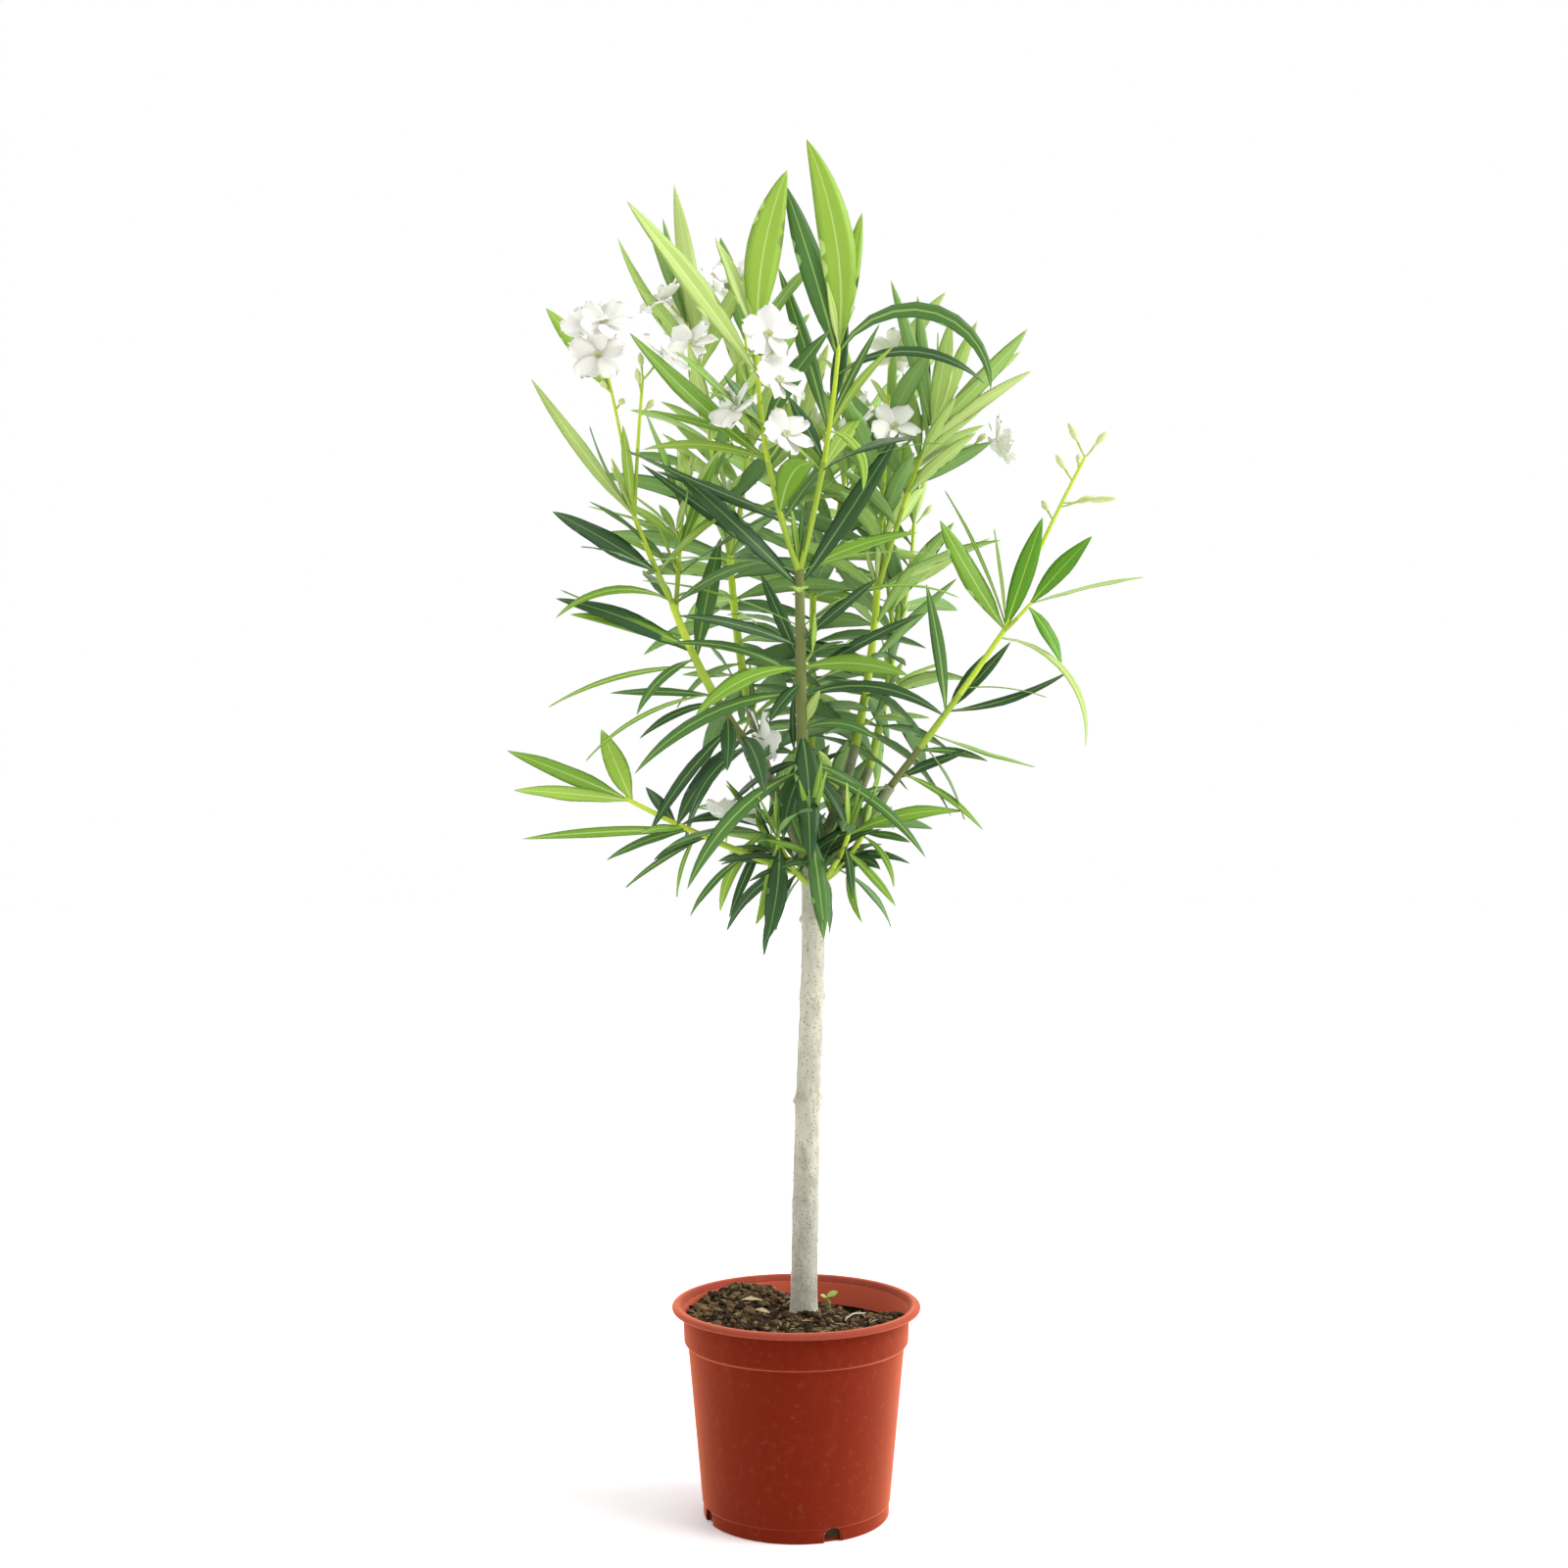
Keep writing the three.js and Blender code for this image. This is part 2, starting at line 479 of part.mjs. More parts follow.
// A leaf from where it springs, its first direction and how far it arches
function makeLeaf({ root, out, axis, length, width, bend, roll, facing = WHORL_FACING }) {
  const outward = out.clone().addScaledVector(axis, -out.dot(axis)).normalize();
  const pull = outward.multiplyScalar(FALL_OUTWARD).sub(UP);
  const fall = pull.addScaledVector(out, -pull.dot(out)).normalize();
  const across = fall.clone().cross(out);
  const up = across.clone().cross(out);
  const open = new THREE.Vector3(0, root.y < FACING_PLANE_Y ? -1 : 1, FACING_UP);
  const turned = THREE.MathUtils.radToDeg(Math.atan2(-open.dot(across), open.dot(up)));
  const aside = THREE.MathUtils.clamp(turned * facing.share, -facing.limit, facing.limit);
  return { root, out, fall, length, width, bend, roll: roll + aside };
}

// The leaves of a shoot's whorls, lowest first. `turn` and `lift` move one leaf aside.
function whorlLeaf(shoot, whorl, order, turn, lift) {
  const draw = drawer(seedOf(shoot.name, whorl, order));
  const rise = shoot.whorls > 1 ? whorl / (shoot.whorls - 1) : 0;
  const along = lerp(shoot.first, shoot.path.length * LAST_WHORL, rise) / shoot.path.length;
  const swing = whorl * WHORL_TURN + order * LEAF_TURN + seedOf(shoot.name, 0, 0) % LEAF_TURN;
  const azimuth = radians(swing + turn + SPREAD.turn * (draw() - 0.5));
  const open = radians(lerp(...shoot.open, rise) + lift + SPREAD.open * (draw() - 0.5));
  const length = lerp(...shoot.leaf, rise) * (1 + SPREAD.length * (draw() - 0.5));
  const width = length * LEAF_SLIMNESS * (1 + SPREAD.width * (draw() - 0.5));
  const bend = lerp(...shoot.bend, rise) + SPREAD.bend * (draw() - 0.5);
  const roll = SPREAD.roll * (draw() - 0.5);
  const axis = shoot.path.direction(along);
  const side = shoot.path.side(along);
  const out = axis.clone().multiplyScalar(Math.cos(open))
    .addScaledVector(side, Math.sin(open) * Math.cos(azimuth))
    .addScaledVector(side.clone().cross(axis), Math.sin(open) * Math.sin(azimuth));
  return makeLeaf({ root: shoot.path.point(along), out, axis, length, width, bend, roll });
}

// A single leaf that is set by hand
function singleLeaf(shoot, [along, bearing, lean, length, width, bend, roll], turn, lift) {
  const s = along / shoot.path.length;
  const out = heading(bearing + turn, lean + lift);
  const axis = shoot.path.direction(s);
  const root = shoot.path.point(s);
  return makeLeaf({ root, out, axis, length, width, bend, roll, facing: SINGLE_FACING });
}

// Two directions square to an axis
function crossAxes(axis) {
  const side = new THREE.Vector3(0, 0, 1).cross(axis);
  if (side.length() < NEARLY_UPRIGHT) side.set(1, 0, 0);
  side.normalize();
  return [side, side.clone().cross(axis)];
}

// A flower: five petals as one star-shaped dish on its tube, and the stalk that bears it
function flowerSolid(shoot, [back, bearing, lean, length], extra = 0, start = 0) {
  const axis = heading(bearing, lean);
  const foot = shoot.path.point(1 - back / shoot.path.length).addScaledVector(axis, start);
  const [side, front] = crossAxes(axis);
  const throat = foot.clone().addScaledVector(axis, length - start);
  const corners = PETAL_EDGE.length * PETALS;
  const dish = reshape(new THREE.SphereGeometry(1, corners, 2), (x, y, z) => {
    if (Math.abs(y) > 0.5) {
      return throat.clone().addScaledVector(axis, y > 0 ? -THROAT_DEPTH : -TUBE_LENGTH);
    }
    const corner = Math.round(((Math.atan2(z, -x) + 2 * Math.PI) / (2 * Math.PI)) * corners) % corners;
    const reach = FLOWER_RADIUS * PETAL_EDGE[corner % PETAL_EDGE.length] + extra;
    return throat.clone().addScaledVector(side, x * reach).addScaledVector(front, z * reach);
  });
  const stalk = { name: 'stalk', foot, bearing: [bearing, bearing], lean: [lean, lean] };
  const stalkLength = length - start - TUBE_TOP;
  const tube = limb({ ...stalk, length: stalkLength, radius: [PEDICEL_RADIUS, TUBE_RADIUS] });
  return solidOf(dish).add(limbSolid(tube, STALK_SIDES, 1, extra));
}

// A bud: one slim spindle whose foot is its own stalk
function budSolid(shoot, [back, bearing, lean, length], extra = 0, start = 0) {
  const axis = heading(bearing, lean);
  const foot = shoot.path.point(1 - back / shoot.path.length).addScaledVector(axis, start);
  const [side, front] = crossAxes(axis);
  const cone = new THREE.ConeGeometry(1, 1, STALK_SIDES, 2);
  const radii = [PEDICEL_RADIUS, BUD_RADIUS, 0];
  const places = [0, BUD_SHOULDER, 1];
  return solidOf(reshape(cone, (x, y, z) => {
    const ring = Math.round((y + 0.5) * 2);
    const shrink = 1 - ring / 2 || 1;
    const radius = (radii[ring] + extra) / shrink;
    return foot.clone().addScaledVector(axis, places[ring] * (length - start))
      .addScaledVector(side, x * radius)
      .addScaledVector(front, z * radius);
  }));
}

// The pot: one lathed wall with a collar and a rolled lip, notched at the foot
function potSolid() {
  const lipUnder = POT_HEIGHT - LIP_THICKNESS;
  const bodyTop = COLLAR_FOOT_Z - STEP_HEIGHT;
  const outline = [
    [0, 0],
    [FOOT_BAND_RADIUS - EDGE, 0],
    [FOOT_BAND_RADIUS, EDGE],
    [FOOT_BAND_RADIUS, FOOT_BAND_HEIGHT],
    [BODY_FOOT_RADIUS, FOOT_BAND_HEIGHT + EDGE],
    [BODY_TOP_RADIUS, bodyTop],
    [COLLAR_FOOT_RADIUS, COLLAR_FOOT_Z],
    [COLLAR_TOP_RADIUS, lipUnder - EDGE],
    [COLLAR_TOP_RADIUS + EDGE, lipUnder],
    [LIP_RADIUS - EDGE, lipUnder],
    [LIP_RADIUS, lipUnder + EDGE],
    [LIP_RADIUS, POT_HEIGHT - LIP_EDGE],
    [LIP_RADIUS - LIP_EDGE, POT_HEIGHT],
    [LIP_INNER_RADIUS + LIP_EDGE, POT_HEIGHT],
    [LIP_INNER_RADIUS, POT_HEIGHT - LIP_EDGE],
    ...innerOutline(0),
  ];
  const profile = outline.map(([r, z]) => new THREE.Vector2(r, z));
  const wall = solidOf(new THREE.LatheGeometry(profile, POT_SIDES).rotateX(Math.PI / 2));
  const notches = NOTCH_BEARINGS.map((bearing) => {
    const notch = new THREE.BoxGeometry(NOTCH_DEPTH, NOTCH_WIDTH, 2 * NOTCH_HEIGHT);
    notch.translate(BODY_FOOT_RADIUS, 0, 0);
    return solidOf(notch.rotateZ(radians(bearing)));
  });
  return notches.reduce((pot, notch) => pot.subtract(notch), wall);
}

// The inside of the pot from the lip down to the middle of its floor, drawn in by a clearance
function innerOutline(clearance) {
  const bodyTop = COLLAR_FOOT_Z - STEP_HEIGHT;
  return [
    [COLLAR_TOP_RADIUS - WALL - clearance, POT_HEIGHT - LIP_THICKNESS],
    [COLLAR_FOOT_RADIUS - WALL - clearance, COLLAR_FOOT_Z + clearance],
    [BODY_TOP_RADIUS - WALL - clearance, bodyTop + clearance],
    [BODY_FOOT_RADIUS - 2 * WALL - clearance, FLOOR_THICKNESS + clearance],
    [0, FLOOR_THICKNESS + clearance],
  ];
}

// The height of the soil: level at the trunk, heaped and hollowed round it
function soilTop(x, y) {
  const away = Math.hypot(x - TRUNK_FOOT_X, y);
  const blend = THREE.MathUtils.smoothstep(away, SOIL_FLAT_RADIUS, SOIL_SLOPE_RADIUS);
  const heaps = SOIL_HEAPS.reduce((sum, heap) => {
    const off = ((x - heap.x) ** 2 + (y - heap.y) ** 2) / heap.radius ** 2;
    return sum + heap.height * Math.exp(-off);
  }, 0);
  return GROUND_Z - GAP + blend * heaps;
}

// The potting mix: it fills the pot with a clearance, under an uneven top
function soilSolid() {
  const sides = innerOutline(GAP).slice(1).reverse();
  const rim = COLLAR_FOOT_RADIUS - WALL - GAP;
  const topRings = [rim, ...SOIL_RINGS, 0].map((r) => [r, GROUND_Z]);
  const profile = [...sides, ...topRings].map(([r, z]) => new THREE.Vector2(r, z));
  const lathe = new THREE.LatheGeometry(profile, POT_SIDES).rotateX(Math.PI / 2);
  return solidOf(reshape(lathe, (x, y, z) => {
    const level = z < GROUND_Z ? z : soilTop(x, y);
    return new THREE.Vector3(x, y, level);
  }));
}

const plant = new THREE.Group();
const taken = [];

function addNode(name, solid, colour, roughness) {
  const { vertProperties, triVerts } = solid.getMesh();
  const geometry = new THREE.BufferGeometry();
  geometry.setAttribute('position', new THREE.BufferAttribute(vertProperties, 3));
  geometry.setIndex(new THREE.BufferAttribute(triVerts, 1));
  const material = new THREE.MeshStandardMaterial({ color: colour, roughness, metalness: 0 });
  const mesh = new THREE.Mesh(geometry, material);
  mesh.name = name;
  plant.add(mesh);
}

function apart(a, b) {
  return [0, 1, 2].some((i) => a.max[i] < b.min[i] || b.max[i] < a.min[i]);
}

// Whether a solid keeps clear of every piece but those that `joins` lets it run into
function clears(solid, joins) {
  const box = solid.boundingBox();
  return taken.every((other) => joins(other) || apart(box, other.box)
    || solid.intersect(other.solid).isEmpty());
}

function take(mass, owner, solid) {
  taken.push({ mass, owner, solid, box: solid.boundingBox() });
  return solid;
}

addNode('pot', potSolid(), COLOURS.pot, ROUGHNESS.pot);
addNode('soil', soilSolid(), COLOURS.soil, ROUGHNESS.soil);

// Trunk and boughs: each bough is cut back from the limbs before it
const trunk = trunkLimb();
const paths = { trunk };
const cutters = [limbSolid(trunk, TRUNK_SIDES, TRUNK_SEGMENTS, GAP)];
const trunkSolid = take('trunk', 'trunk', limbSolid(trunk, TRUNK_SIDES, TRUNK_SEGMENTS));
addNode('trunk', trunkSolid, COLOURS.bark, ROUGHNESS.bark);
for (const spec of BOUGHS) {
  const path = limb({ ...spec, foot: trunk.point(spec.at) });
  const whole = limbSolid(path, BOUGH_SIDES, BOUGH_SEGMENTS);
  const solid = mainBody(cutters.reduce((left, cutter) => left.subtract(cutter), whole));
  paths[spec.name] = path;
  cutters.push(limbSolid(path, BOUGH_SIDES, BOUGH_SEGMENTS, GAP));
  addNode(spec.name, take(spec.name, spec.name, solid), COLOURS.youngBark, ROUGHNESS.youngBark);
}

// Stems of the masses, with their flowers and buds
const skirt = SKIRT_SHOOTS.map(({ bearing, at, length, whorls }, i) => ({
  name: `skirt_${i + 1}`,
  on: 'trunk',
  at,
  bearing: [bearing, bearing],
  lean: SKIRT_LEAN,
  length,
  radius: SKIRT_RADIUS,
  whorls,
  ...SKIRT_LEAF,
}));
const masses = {};
const shoots = [...SHOOTS, ...skirt].map((spec) => {
  const parent = paths[spec.on];
  const onBough = BOUGHS.some((bough) => bough.name === spec.on);
  const s = onBough ? 1 : spec.at;
  const foot = parent.point(s).addScaledVector(parent.direction(s), onBough ? GAP : 0);
  const path = limb({ ...spec, foot });
  const mass = onBough || spec.on === 'trunk' ? `foliage_${spec.name}` : parent.mass;
  path.mass = mass;
  paths[spec.name] = path;
  const slim = spec.radius[0] < STALK_RADIUS ? STALK_SIDES : FORK_SIDES;
  const sides = spec.radius[0] > FORK_RADIUS ? STEM_SIDES : slim;
  const segments = Math.max(2, Math.round(path.length / STEM_SEGMENT));
  const whole = limbSolid(path, sides, segments);
  const isFork = parent.mass === mass;
  const solid = isFork ? whole : mainBody(cutters.reduce((left, cutter) => left.subtract(cutter), whole));
  const wide = limbSolid(path, sides, segments, GAP);
  const fits = clears(wide, (other) => other.mass === mass || other.owner === spec.on);
  if (fits) {
    masses[mass] = [...(masses[mass] ?? []), take(mass, spec.name, solid)];
  }
  return { ...spec, mass, path, fits };
});

for (const shoot of shoots.filter(({ fits }) => fits)) {
  for (const [list, build] of [[shoot.blooms, flowerSolid], [shoot.buds, budSolid]]) {
    for (const [back, bearing, lean, length] of list ?? []) {
      const turn = BLOOM_NUDGES.find((aside) => {
        const moved = [back, bearing + aside, lean, length];
        const whole = build(shoot, moved, LEAF_CLEARANCE);
        const probe = build(shoot, moved, LEAF_CLEARANCE, BLOOM_PROBE_START);
        return clears(whole, (other) => other.mass === shoot.mass)
          && clears(probe, (other) => other.mass !== shoot.mass || other.owner === shoot.name);
      });
      if (turn !== undefined) {
        const moved = [back, bearing + turn, lean, length];
        masses[shoot.mass].push(take(shoot.mass, 'bloom', build(shoot, moved)));
      }
    }
  }
}

// Leaves: one that would touch another mass or a limb is moved aside a little, or left out
function addLeaf(shoot, build) {
  for (const lift of LIFTS) {
    for (const turn of NUDGES) {
      const leaf = build(turn, lift);
      const root = leaf.root.clone().addScaledVector(leaf.out, PROBE_START);
      const probe = leafSolid({ ...leaf, root, length: leaf.length - PROBE_START }, LEAF_CLEARANCE);
      const whole = leafSolid(leaf, LEAF_CLEARANCE);
      if (clears(whole, (other) => other.mass === shoot.mass)
        && clears(probe, (other) => other.mass !== shoot.mass || other.owner === shoot.name)) {
        masses[shoot.mass].push(take(shoot.mass, 'leaf', leafSolid(leaf)));
        return;
      }
    }
  }
}
const leafy = shoots.filter(({ fits }) => fits);
for (const shoot of leafy) {
  for (const one of SINGLE_LEAVES[shoot.name] ?? []) {
    addLeaf(shoot, (turn, lift) => singleLeaf(shoot, one, turn, lift));
  }
}
for (const shoot of leafy) {
  for (let whorl = 0; whorl < (shoot.whorls ?? 0); whorl += 1) {
    for (let order = 0; order < LEAVES_IN_WHORL; order += 1) {
      addLeaf(shoot, (turn, lift) => whorlLeaf(shoot, whorl, order, turn, lift));
    }
  }
}

for (const [name, pieces] of Object.entries(masses)) {
  const solid = mainBody(wasm.Manifold.union(pieces).simplify(SMALLEST_DETAIL));
  addNode(name, solid, COLOURS.foliage, ROUGHNESS.foliage);
}

export default plant;
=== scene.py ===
"""Potted oleander: a young standard in flower, in a 21 cm nursery pot.

Sizes are in millimetres and become metres where a mesh is made. +X is to the viewer's right, +Y
away from the viewer, +Z up, and the origin is the centre of the pot's underside. Limbs, leaves,
flowers and buds follow the rule of growth of the solids that they stand for, and go on from there
to finer leaves, tufts and twigs. Where chance sets a size, its pair is the least and the span.
"""

import math

import bpy
import numpy as np
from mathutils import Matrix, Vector, noise


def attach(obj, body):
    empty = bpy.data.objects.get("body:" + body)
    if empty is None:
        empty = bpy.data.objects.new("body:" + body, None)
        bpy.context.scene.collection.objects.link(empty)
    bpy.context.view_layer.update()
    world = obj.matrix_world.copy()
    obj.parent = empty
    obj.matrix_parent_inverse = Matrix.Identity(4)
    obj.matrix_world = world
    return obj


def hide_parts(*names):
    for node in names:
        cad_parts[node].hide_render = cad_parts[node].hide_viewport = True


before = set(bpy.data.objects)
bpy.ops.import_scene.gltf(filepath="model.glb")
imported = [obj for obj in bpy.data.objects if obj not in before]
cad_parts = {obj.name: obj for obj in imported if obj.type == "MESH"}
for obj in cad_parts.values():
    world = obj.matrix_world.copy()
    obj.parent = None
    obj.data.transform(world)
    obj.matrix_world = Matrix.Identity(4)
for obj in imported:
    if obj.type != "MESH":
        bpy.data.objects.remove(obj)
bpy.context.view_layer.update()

MM = 0.001
UP = np.array((0.0, 0.0, 1.0))

# Clearance between neighbours
GAP = 0.3

# Limbs
LIMB_STEPS = 12
HAIR = 1e-9
NEARLY_UPRIGHT = 0.05

# Pot
POT_HEIGHT = 177
WALL = 1.6
LIP_RADIUS = 105
LIP_INNER_RADIUS = 95
LIP_THICKNESS = 5.2
COLLAR_TOP_RADIUS = 95.6
COLLAR_FOOT_RADIUS = 94.5
COLLAR_FOOT_Z = 145
STEP_HEIGHT = 2
BODY_TOP_RADIUS = 91.3
BODY_FOOT_RADIUS = 79.1
FOOT_BAND_RADIUS = 78.2
FOOT_BAND_HEIGHT = 11
FLOOR_THICKNESS = 3
NOTCH_WIDTH = 15
NOTCH_HEIGHT = 12
NOTCH_DEPTH = 9
NOTCH_BEARINGS = (292, 22, 112, 202)
NOTCH_OVERCUT = 4
NOTCH_STEPS = 13
LIP_EASE = 3
POT_SIDES = 160
POT_CORNER = 1.6
CORNER_SHARE = 0.45
CORNER_STEPS = 4

# Potting mix
GROUND_Z = 165
SOIL_FLAT_RADIUS = 27
SOIL_SLOPE_RADIUS = 46
SOIL_HEAPS = (
    {"x": -42, "y": 34, "radius": 34, "height": 16},
    {"x": -62, "y": -22, "radius": 30, "height": 7},
    {"x": 60, "y": 52, "radius": 34, "height": -13},
    {"x": 58, "y": -30, "radius": 26, "height": 5},
)
# A bank in front of the trunk, and hollows behind it
SOIL_UNEVEN = (
    {"x": 6, "y": -19, "radius": 18, "height": 7},
    {"x": 5, "y": 84, "radius": 26, "height": -9},
    {"x": 54, "y": 76, "radius": 34, "height": -10},
)
SOIL_RELIEF = 3.0
SOIL_FINE_RELIEF = 2.6
# How much calmer the soil is near the pot's wall, and from which radius to which
SOIL_FADE = 0.6
SOIL_FADE_RADII = (78, 92)
SOIL_EDGE_DEPTH = 12
SOIL_SIDES = 260
SOIL_RINGS = 110
CRUMBS = 5200
CRUMB_SIZE = (0.5, 3.6)
CRUMB_KINDS = 3
CRUMB_LIFT = 0.15
LUMP_REACH = (0.75, 0.5)
LUMP_SPREADS = ((0.7, 0.6), (0.7, 0.6), (0.5, 0.4))
CLODS = 150
CLOD_SIZE = (1.6, 2.6)
CLODS_ON_HEAP = 0.6
CLOD_FIELD = {"x": 0, "y": -10, "radius": 80}
CLOD_SCATTER = 1.3
CLOD_ROUGHNESS = 0.7
CLOD_POLE = 0.94
CLOD_LIFT = 0.25
CLOD_SPREADS = ((0.8, 0.5), (0.8, 0.5), (0.6, 0.3))

# Litter on the mix: places, seed leaves as (bearing, length), husks as (x, y, bearing, length, width)
SEEDLING_PLACE = (28, 32)
SEED_LEAVES = ((4, 11), (196, 6))
ROOT_PLACE = (40, -36)
HUSKS = ((-46, 4, 20, 20, 8), (-36, -2, 340, 15, 6), (-58, -14, 60, 12, 3))
HUSK_LIFT = 1.5
FIBRES = 90
FIBRE_FIELD = 84
FIBRE_LEAN = (66, 30)
FIBRE_LENGTH = (4, 8)
FIBRE_LIFT = 0.6
THREAD_STEPS = 6
THREAD_SIDES = 8
THREAD_SIDE = (1.0, 0.0, 0.0)
THREAD_FRONT = (0.0, 0.6, 0.8)

# Trunk
TRUNK_FOOT_X = 6.2
TRUNK_DRIFT = 6.3
TRUNK_BOW = 3.2
TRUNK_HEIGHT = 392
TRUNK_FOOT_RADIUS = 10.6
TRUNK_TIP_RADIUS = 8.2
ROOT_FLARE = 1.6
ROOT_FLARE_HEIGHT = 9
KNOTS = (
    {"height": 96, "swell": 0.5},
    {"height": 183, "swell": 0.9},
    {"height": 271, "swell": 0.8},
    {"height": 335, "swell": 0.7},
)
KNOT_HALF_LENGTH = 7
KNOT_RING = {"slant": 3, "half_height": 1.1, "depth": 0.28}
BARK_THICKNESS = (0.6, 1.1)
TRUNK_RELIEF = 0.34
TRUNK_FINE_RELIEF = 0.2
FIBRE_STRETCH = (1, 1, 0.22)
TRUNK_MEAN_RADIUS = 9.5
TRUNK_SIDES = 72
TRUNK_RINGS = 420

# Dormant buds on the trunk: height above the mix, bearing, how far they stand out, and how tall
TRUNK_BUDS = (
    (64, 354, 0.9, 4.0),
    (182, 176, 2.0, 5.5),
    (186, 6, 1.7, 5.0),
    (271, 340, 1.8, 5.0),
    (271, 266, 1.8, 5.5),
    (335, 188, 2.4, 6.0),
)
TRUNK_BUD_HALF_WIDTH = 2.6
LEAF_SCAR = {"below": 0.7, "half_height": 1.3, "half_width": 5.0, "depth": 0.5}
WARTS = 230
WART_SIZE = (0.5, 0.7)
WART_REACH = 3
WART_TALLNESS = 1.3
WART_HEIGHT = 0.4

# Skin of the boughs
BOUGH_RINGS = 44
BOUGH_SIDES = 28
BOUGH_FOOT = -0.03
BOUGH_RELIEF = 0.22
BOUGH_FINE_RELIEF = 0.1
BOUGH_COLLAR = 1.3
BOUGH_COLLAR_LENGTH = 7
BOUGH_SCAR_SPACING = 13
BOUGH_SCAR_HEIGHT = 0.3

# Leaves
PETIOLE_SHARE = 0.05
LEAF_SLIMNESS = 0.16
LEAVES_IN_WHORL = 3
WHORL_TURN = 60
LEAF_TURN = 360 // LEAVES_IN_WHORL
LAST_WHORL = 0.97
FALL_OUTWARD = 0.6
SPREAD = {"turn": 20, "open": 16, "bend": 18, "length": 0.22, "width": 0.2, "roll": 56}
FACING_UP = 0.7
FACING_PLANE_Y = 34
WHORL_FACING = {"share": 0.72, "limit": 90}
SINGLE_FACING = {"share": 1, "limit": 180}
LEAF_STATIONS = 13
LEAF_COLUMNS = 10
STATION_EASE = 0.82
STRAIGHT = 1e-6

# A leaf's outline, twist, fold, waves, thickness and midrib
BLADE_SKEW = 0.9
BLADE_FULLNESS = 0.8
LEAST_HALF_WIDTH = 0.75
LEAF_TWIST = 18
TWIST_FROM = 0.3
FOLD = (0.06, 0.22)
FOLD_EASE = 0.12
WAVE = 0.1
WAVE_COUNT = (1.2, 1.3)
INNER_EDGE = 0.55
SKIN = 0.2
RIB_HALF_WIDTH = (0.95, 0.25)
RIB_LEAF_LENGTH = 120
WIDEST_RIB = 0.6
RIB_RISE = 0.12
RIB_DEPTH = 0.75
RIB_UNDER_WIDTH = 1.3

# Flowers
FLOWER_RADIUS = 23.5
PETALS = 5
THROAT_DEPTH = 3
TUBE_LENGTH = 11
TUBE_STEPS = (-TUBE_LENGTH, -TUBE_LENGTH * 0.6, -THROAT_DEPTH * 1.2, -THROAT_DEPTH * 0.5)
TUBE_RADII = (1.3, 1.7, 2.5, 3.2)
THROAT_STEPS = (-THROAT_DEPTH * 0.4, -THROAT_DEPTH * 1.4, -THROAT_DEPTH * 1.9)
THROAT_RADII = (3.1, 2.0, 0.6)
FLOWER_SIDES = 10
CROWN_TEETH = 2 * PETALS
CROWN_TURN = 0.3
CROWN = {"radius": 2.9, "sunk": 0.8, "half_width": 0.9, "thick": 0.5, "flare": (3.9, 1), "rise": (2.4, 1.2)}
CALYX = {"half_width": 0.8, "sunk": 0.8, "flare": 2.2, "rise": 4.2}
SPIKE_FACES = [(0, 1, 2), (1, 3, 2), (3, 0, 2), (1, 0, 3)]
FLOWER_STALK_RADII = (0.8, 1.3)
STALK_RINGS = 5
STALK_SIDES = 6
STALK_SAG = 0.04

# A petal's size, cup, tilt and ruffles
PETAL_REACH = (0.94, 0.12)
PETAL_WIDTH = 19.5
PETAL_WIDTH_SHARE = (0.86, 0.28)
PETAL_FOOT = 2.2
PETAL_WIDEST = 0.66
PETAL_TIP_SHARE = 0.36
PETAL_ROUNDNESS = 2.2
LEAST_PETAL_HALF_WIDTHS = (2.1, 2.6)
PETAL_THICKNESS = 0.35
CUP = (0.12, 0.3)
PETAL_TILT = (0.26, 0.16)
PETAL_HOLLOW = 0.1
CORNER_DRAW_IN = 1.6
MARGIN_WAVE = 1.2
MARGIN_TURNS = 4.6
PINWHEEL = 2.6
RUFFLE = (1.1, 1.5)
RUFFLE_PHASE = 6.28
RUFFLE_ACROSS = 3.4
RUFFLE_ALONG = 2.2

# Buds
BUD_RADIUS = 2.7
BUD_FOOT_RADIUS = 1.0
BUD_STALK_SHARE = 0.42
BUD_BODY_SHARE = 0.58
BUD_ENDS = (0.02, 0.985)
BUD_SKEW = 1.15
BUD_FULLNESS = 0.7
BUD_TWIST = 1.5
PLEAT_DEPTH = 0.22
BUD_RINGS = 9
BUD_SIDES = 10
BUD_STALK_RADII = (0.7, 1.1)

# Boughs: name, how far up the trunk, bearing and lean at foot and tip, length, radius at foot and tip
BOUGH_FIELDS = ("name", "at", "bearing", "lean", "length", "radius")
BOUGH_ROWS = (
    ("bough_leader", 0.975, (240, 250), (15, 11), 78, (6.4, 5.4)),
    ("bough_left", 0.955, (199, 195), (24, 31), 116, (5.4, 4.4)),
    ("bough_right", 0.965, (350, 352), (50, 38), 96, (5.4, 4.5)),
    ("bough_inner_right", 0.98, (46, 42), (40, 17), 112, (5, 4.1)),
    ("bough_back_left", 0.97, (142, 136), (38, 16), 158, (5.2, 4.1)),
    ("bough_back", 0.965, (92, 88), (46, 24), 124, (5, 4)),
    ("bough_back_right", 0.96, (56, 54), (56, 36), 124, (5, 4)),
)

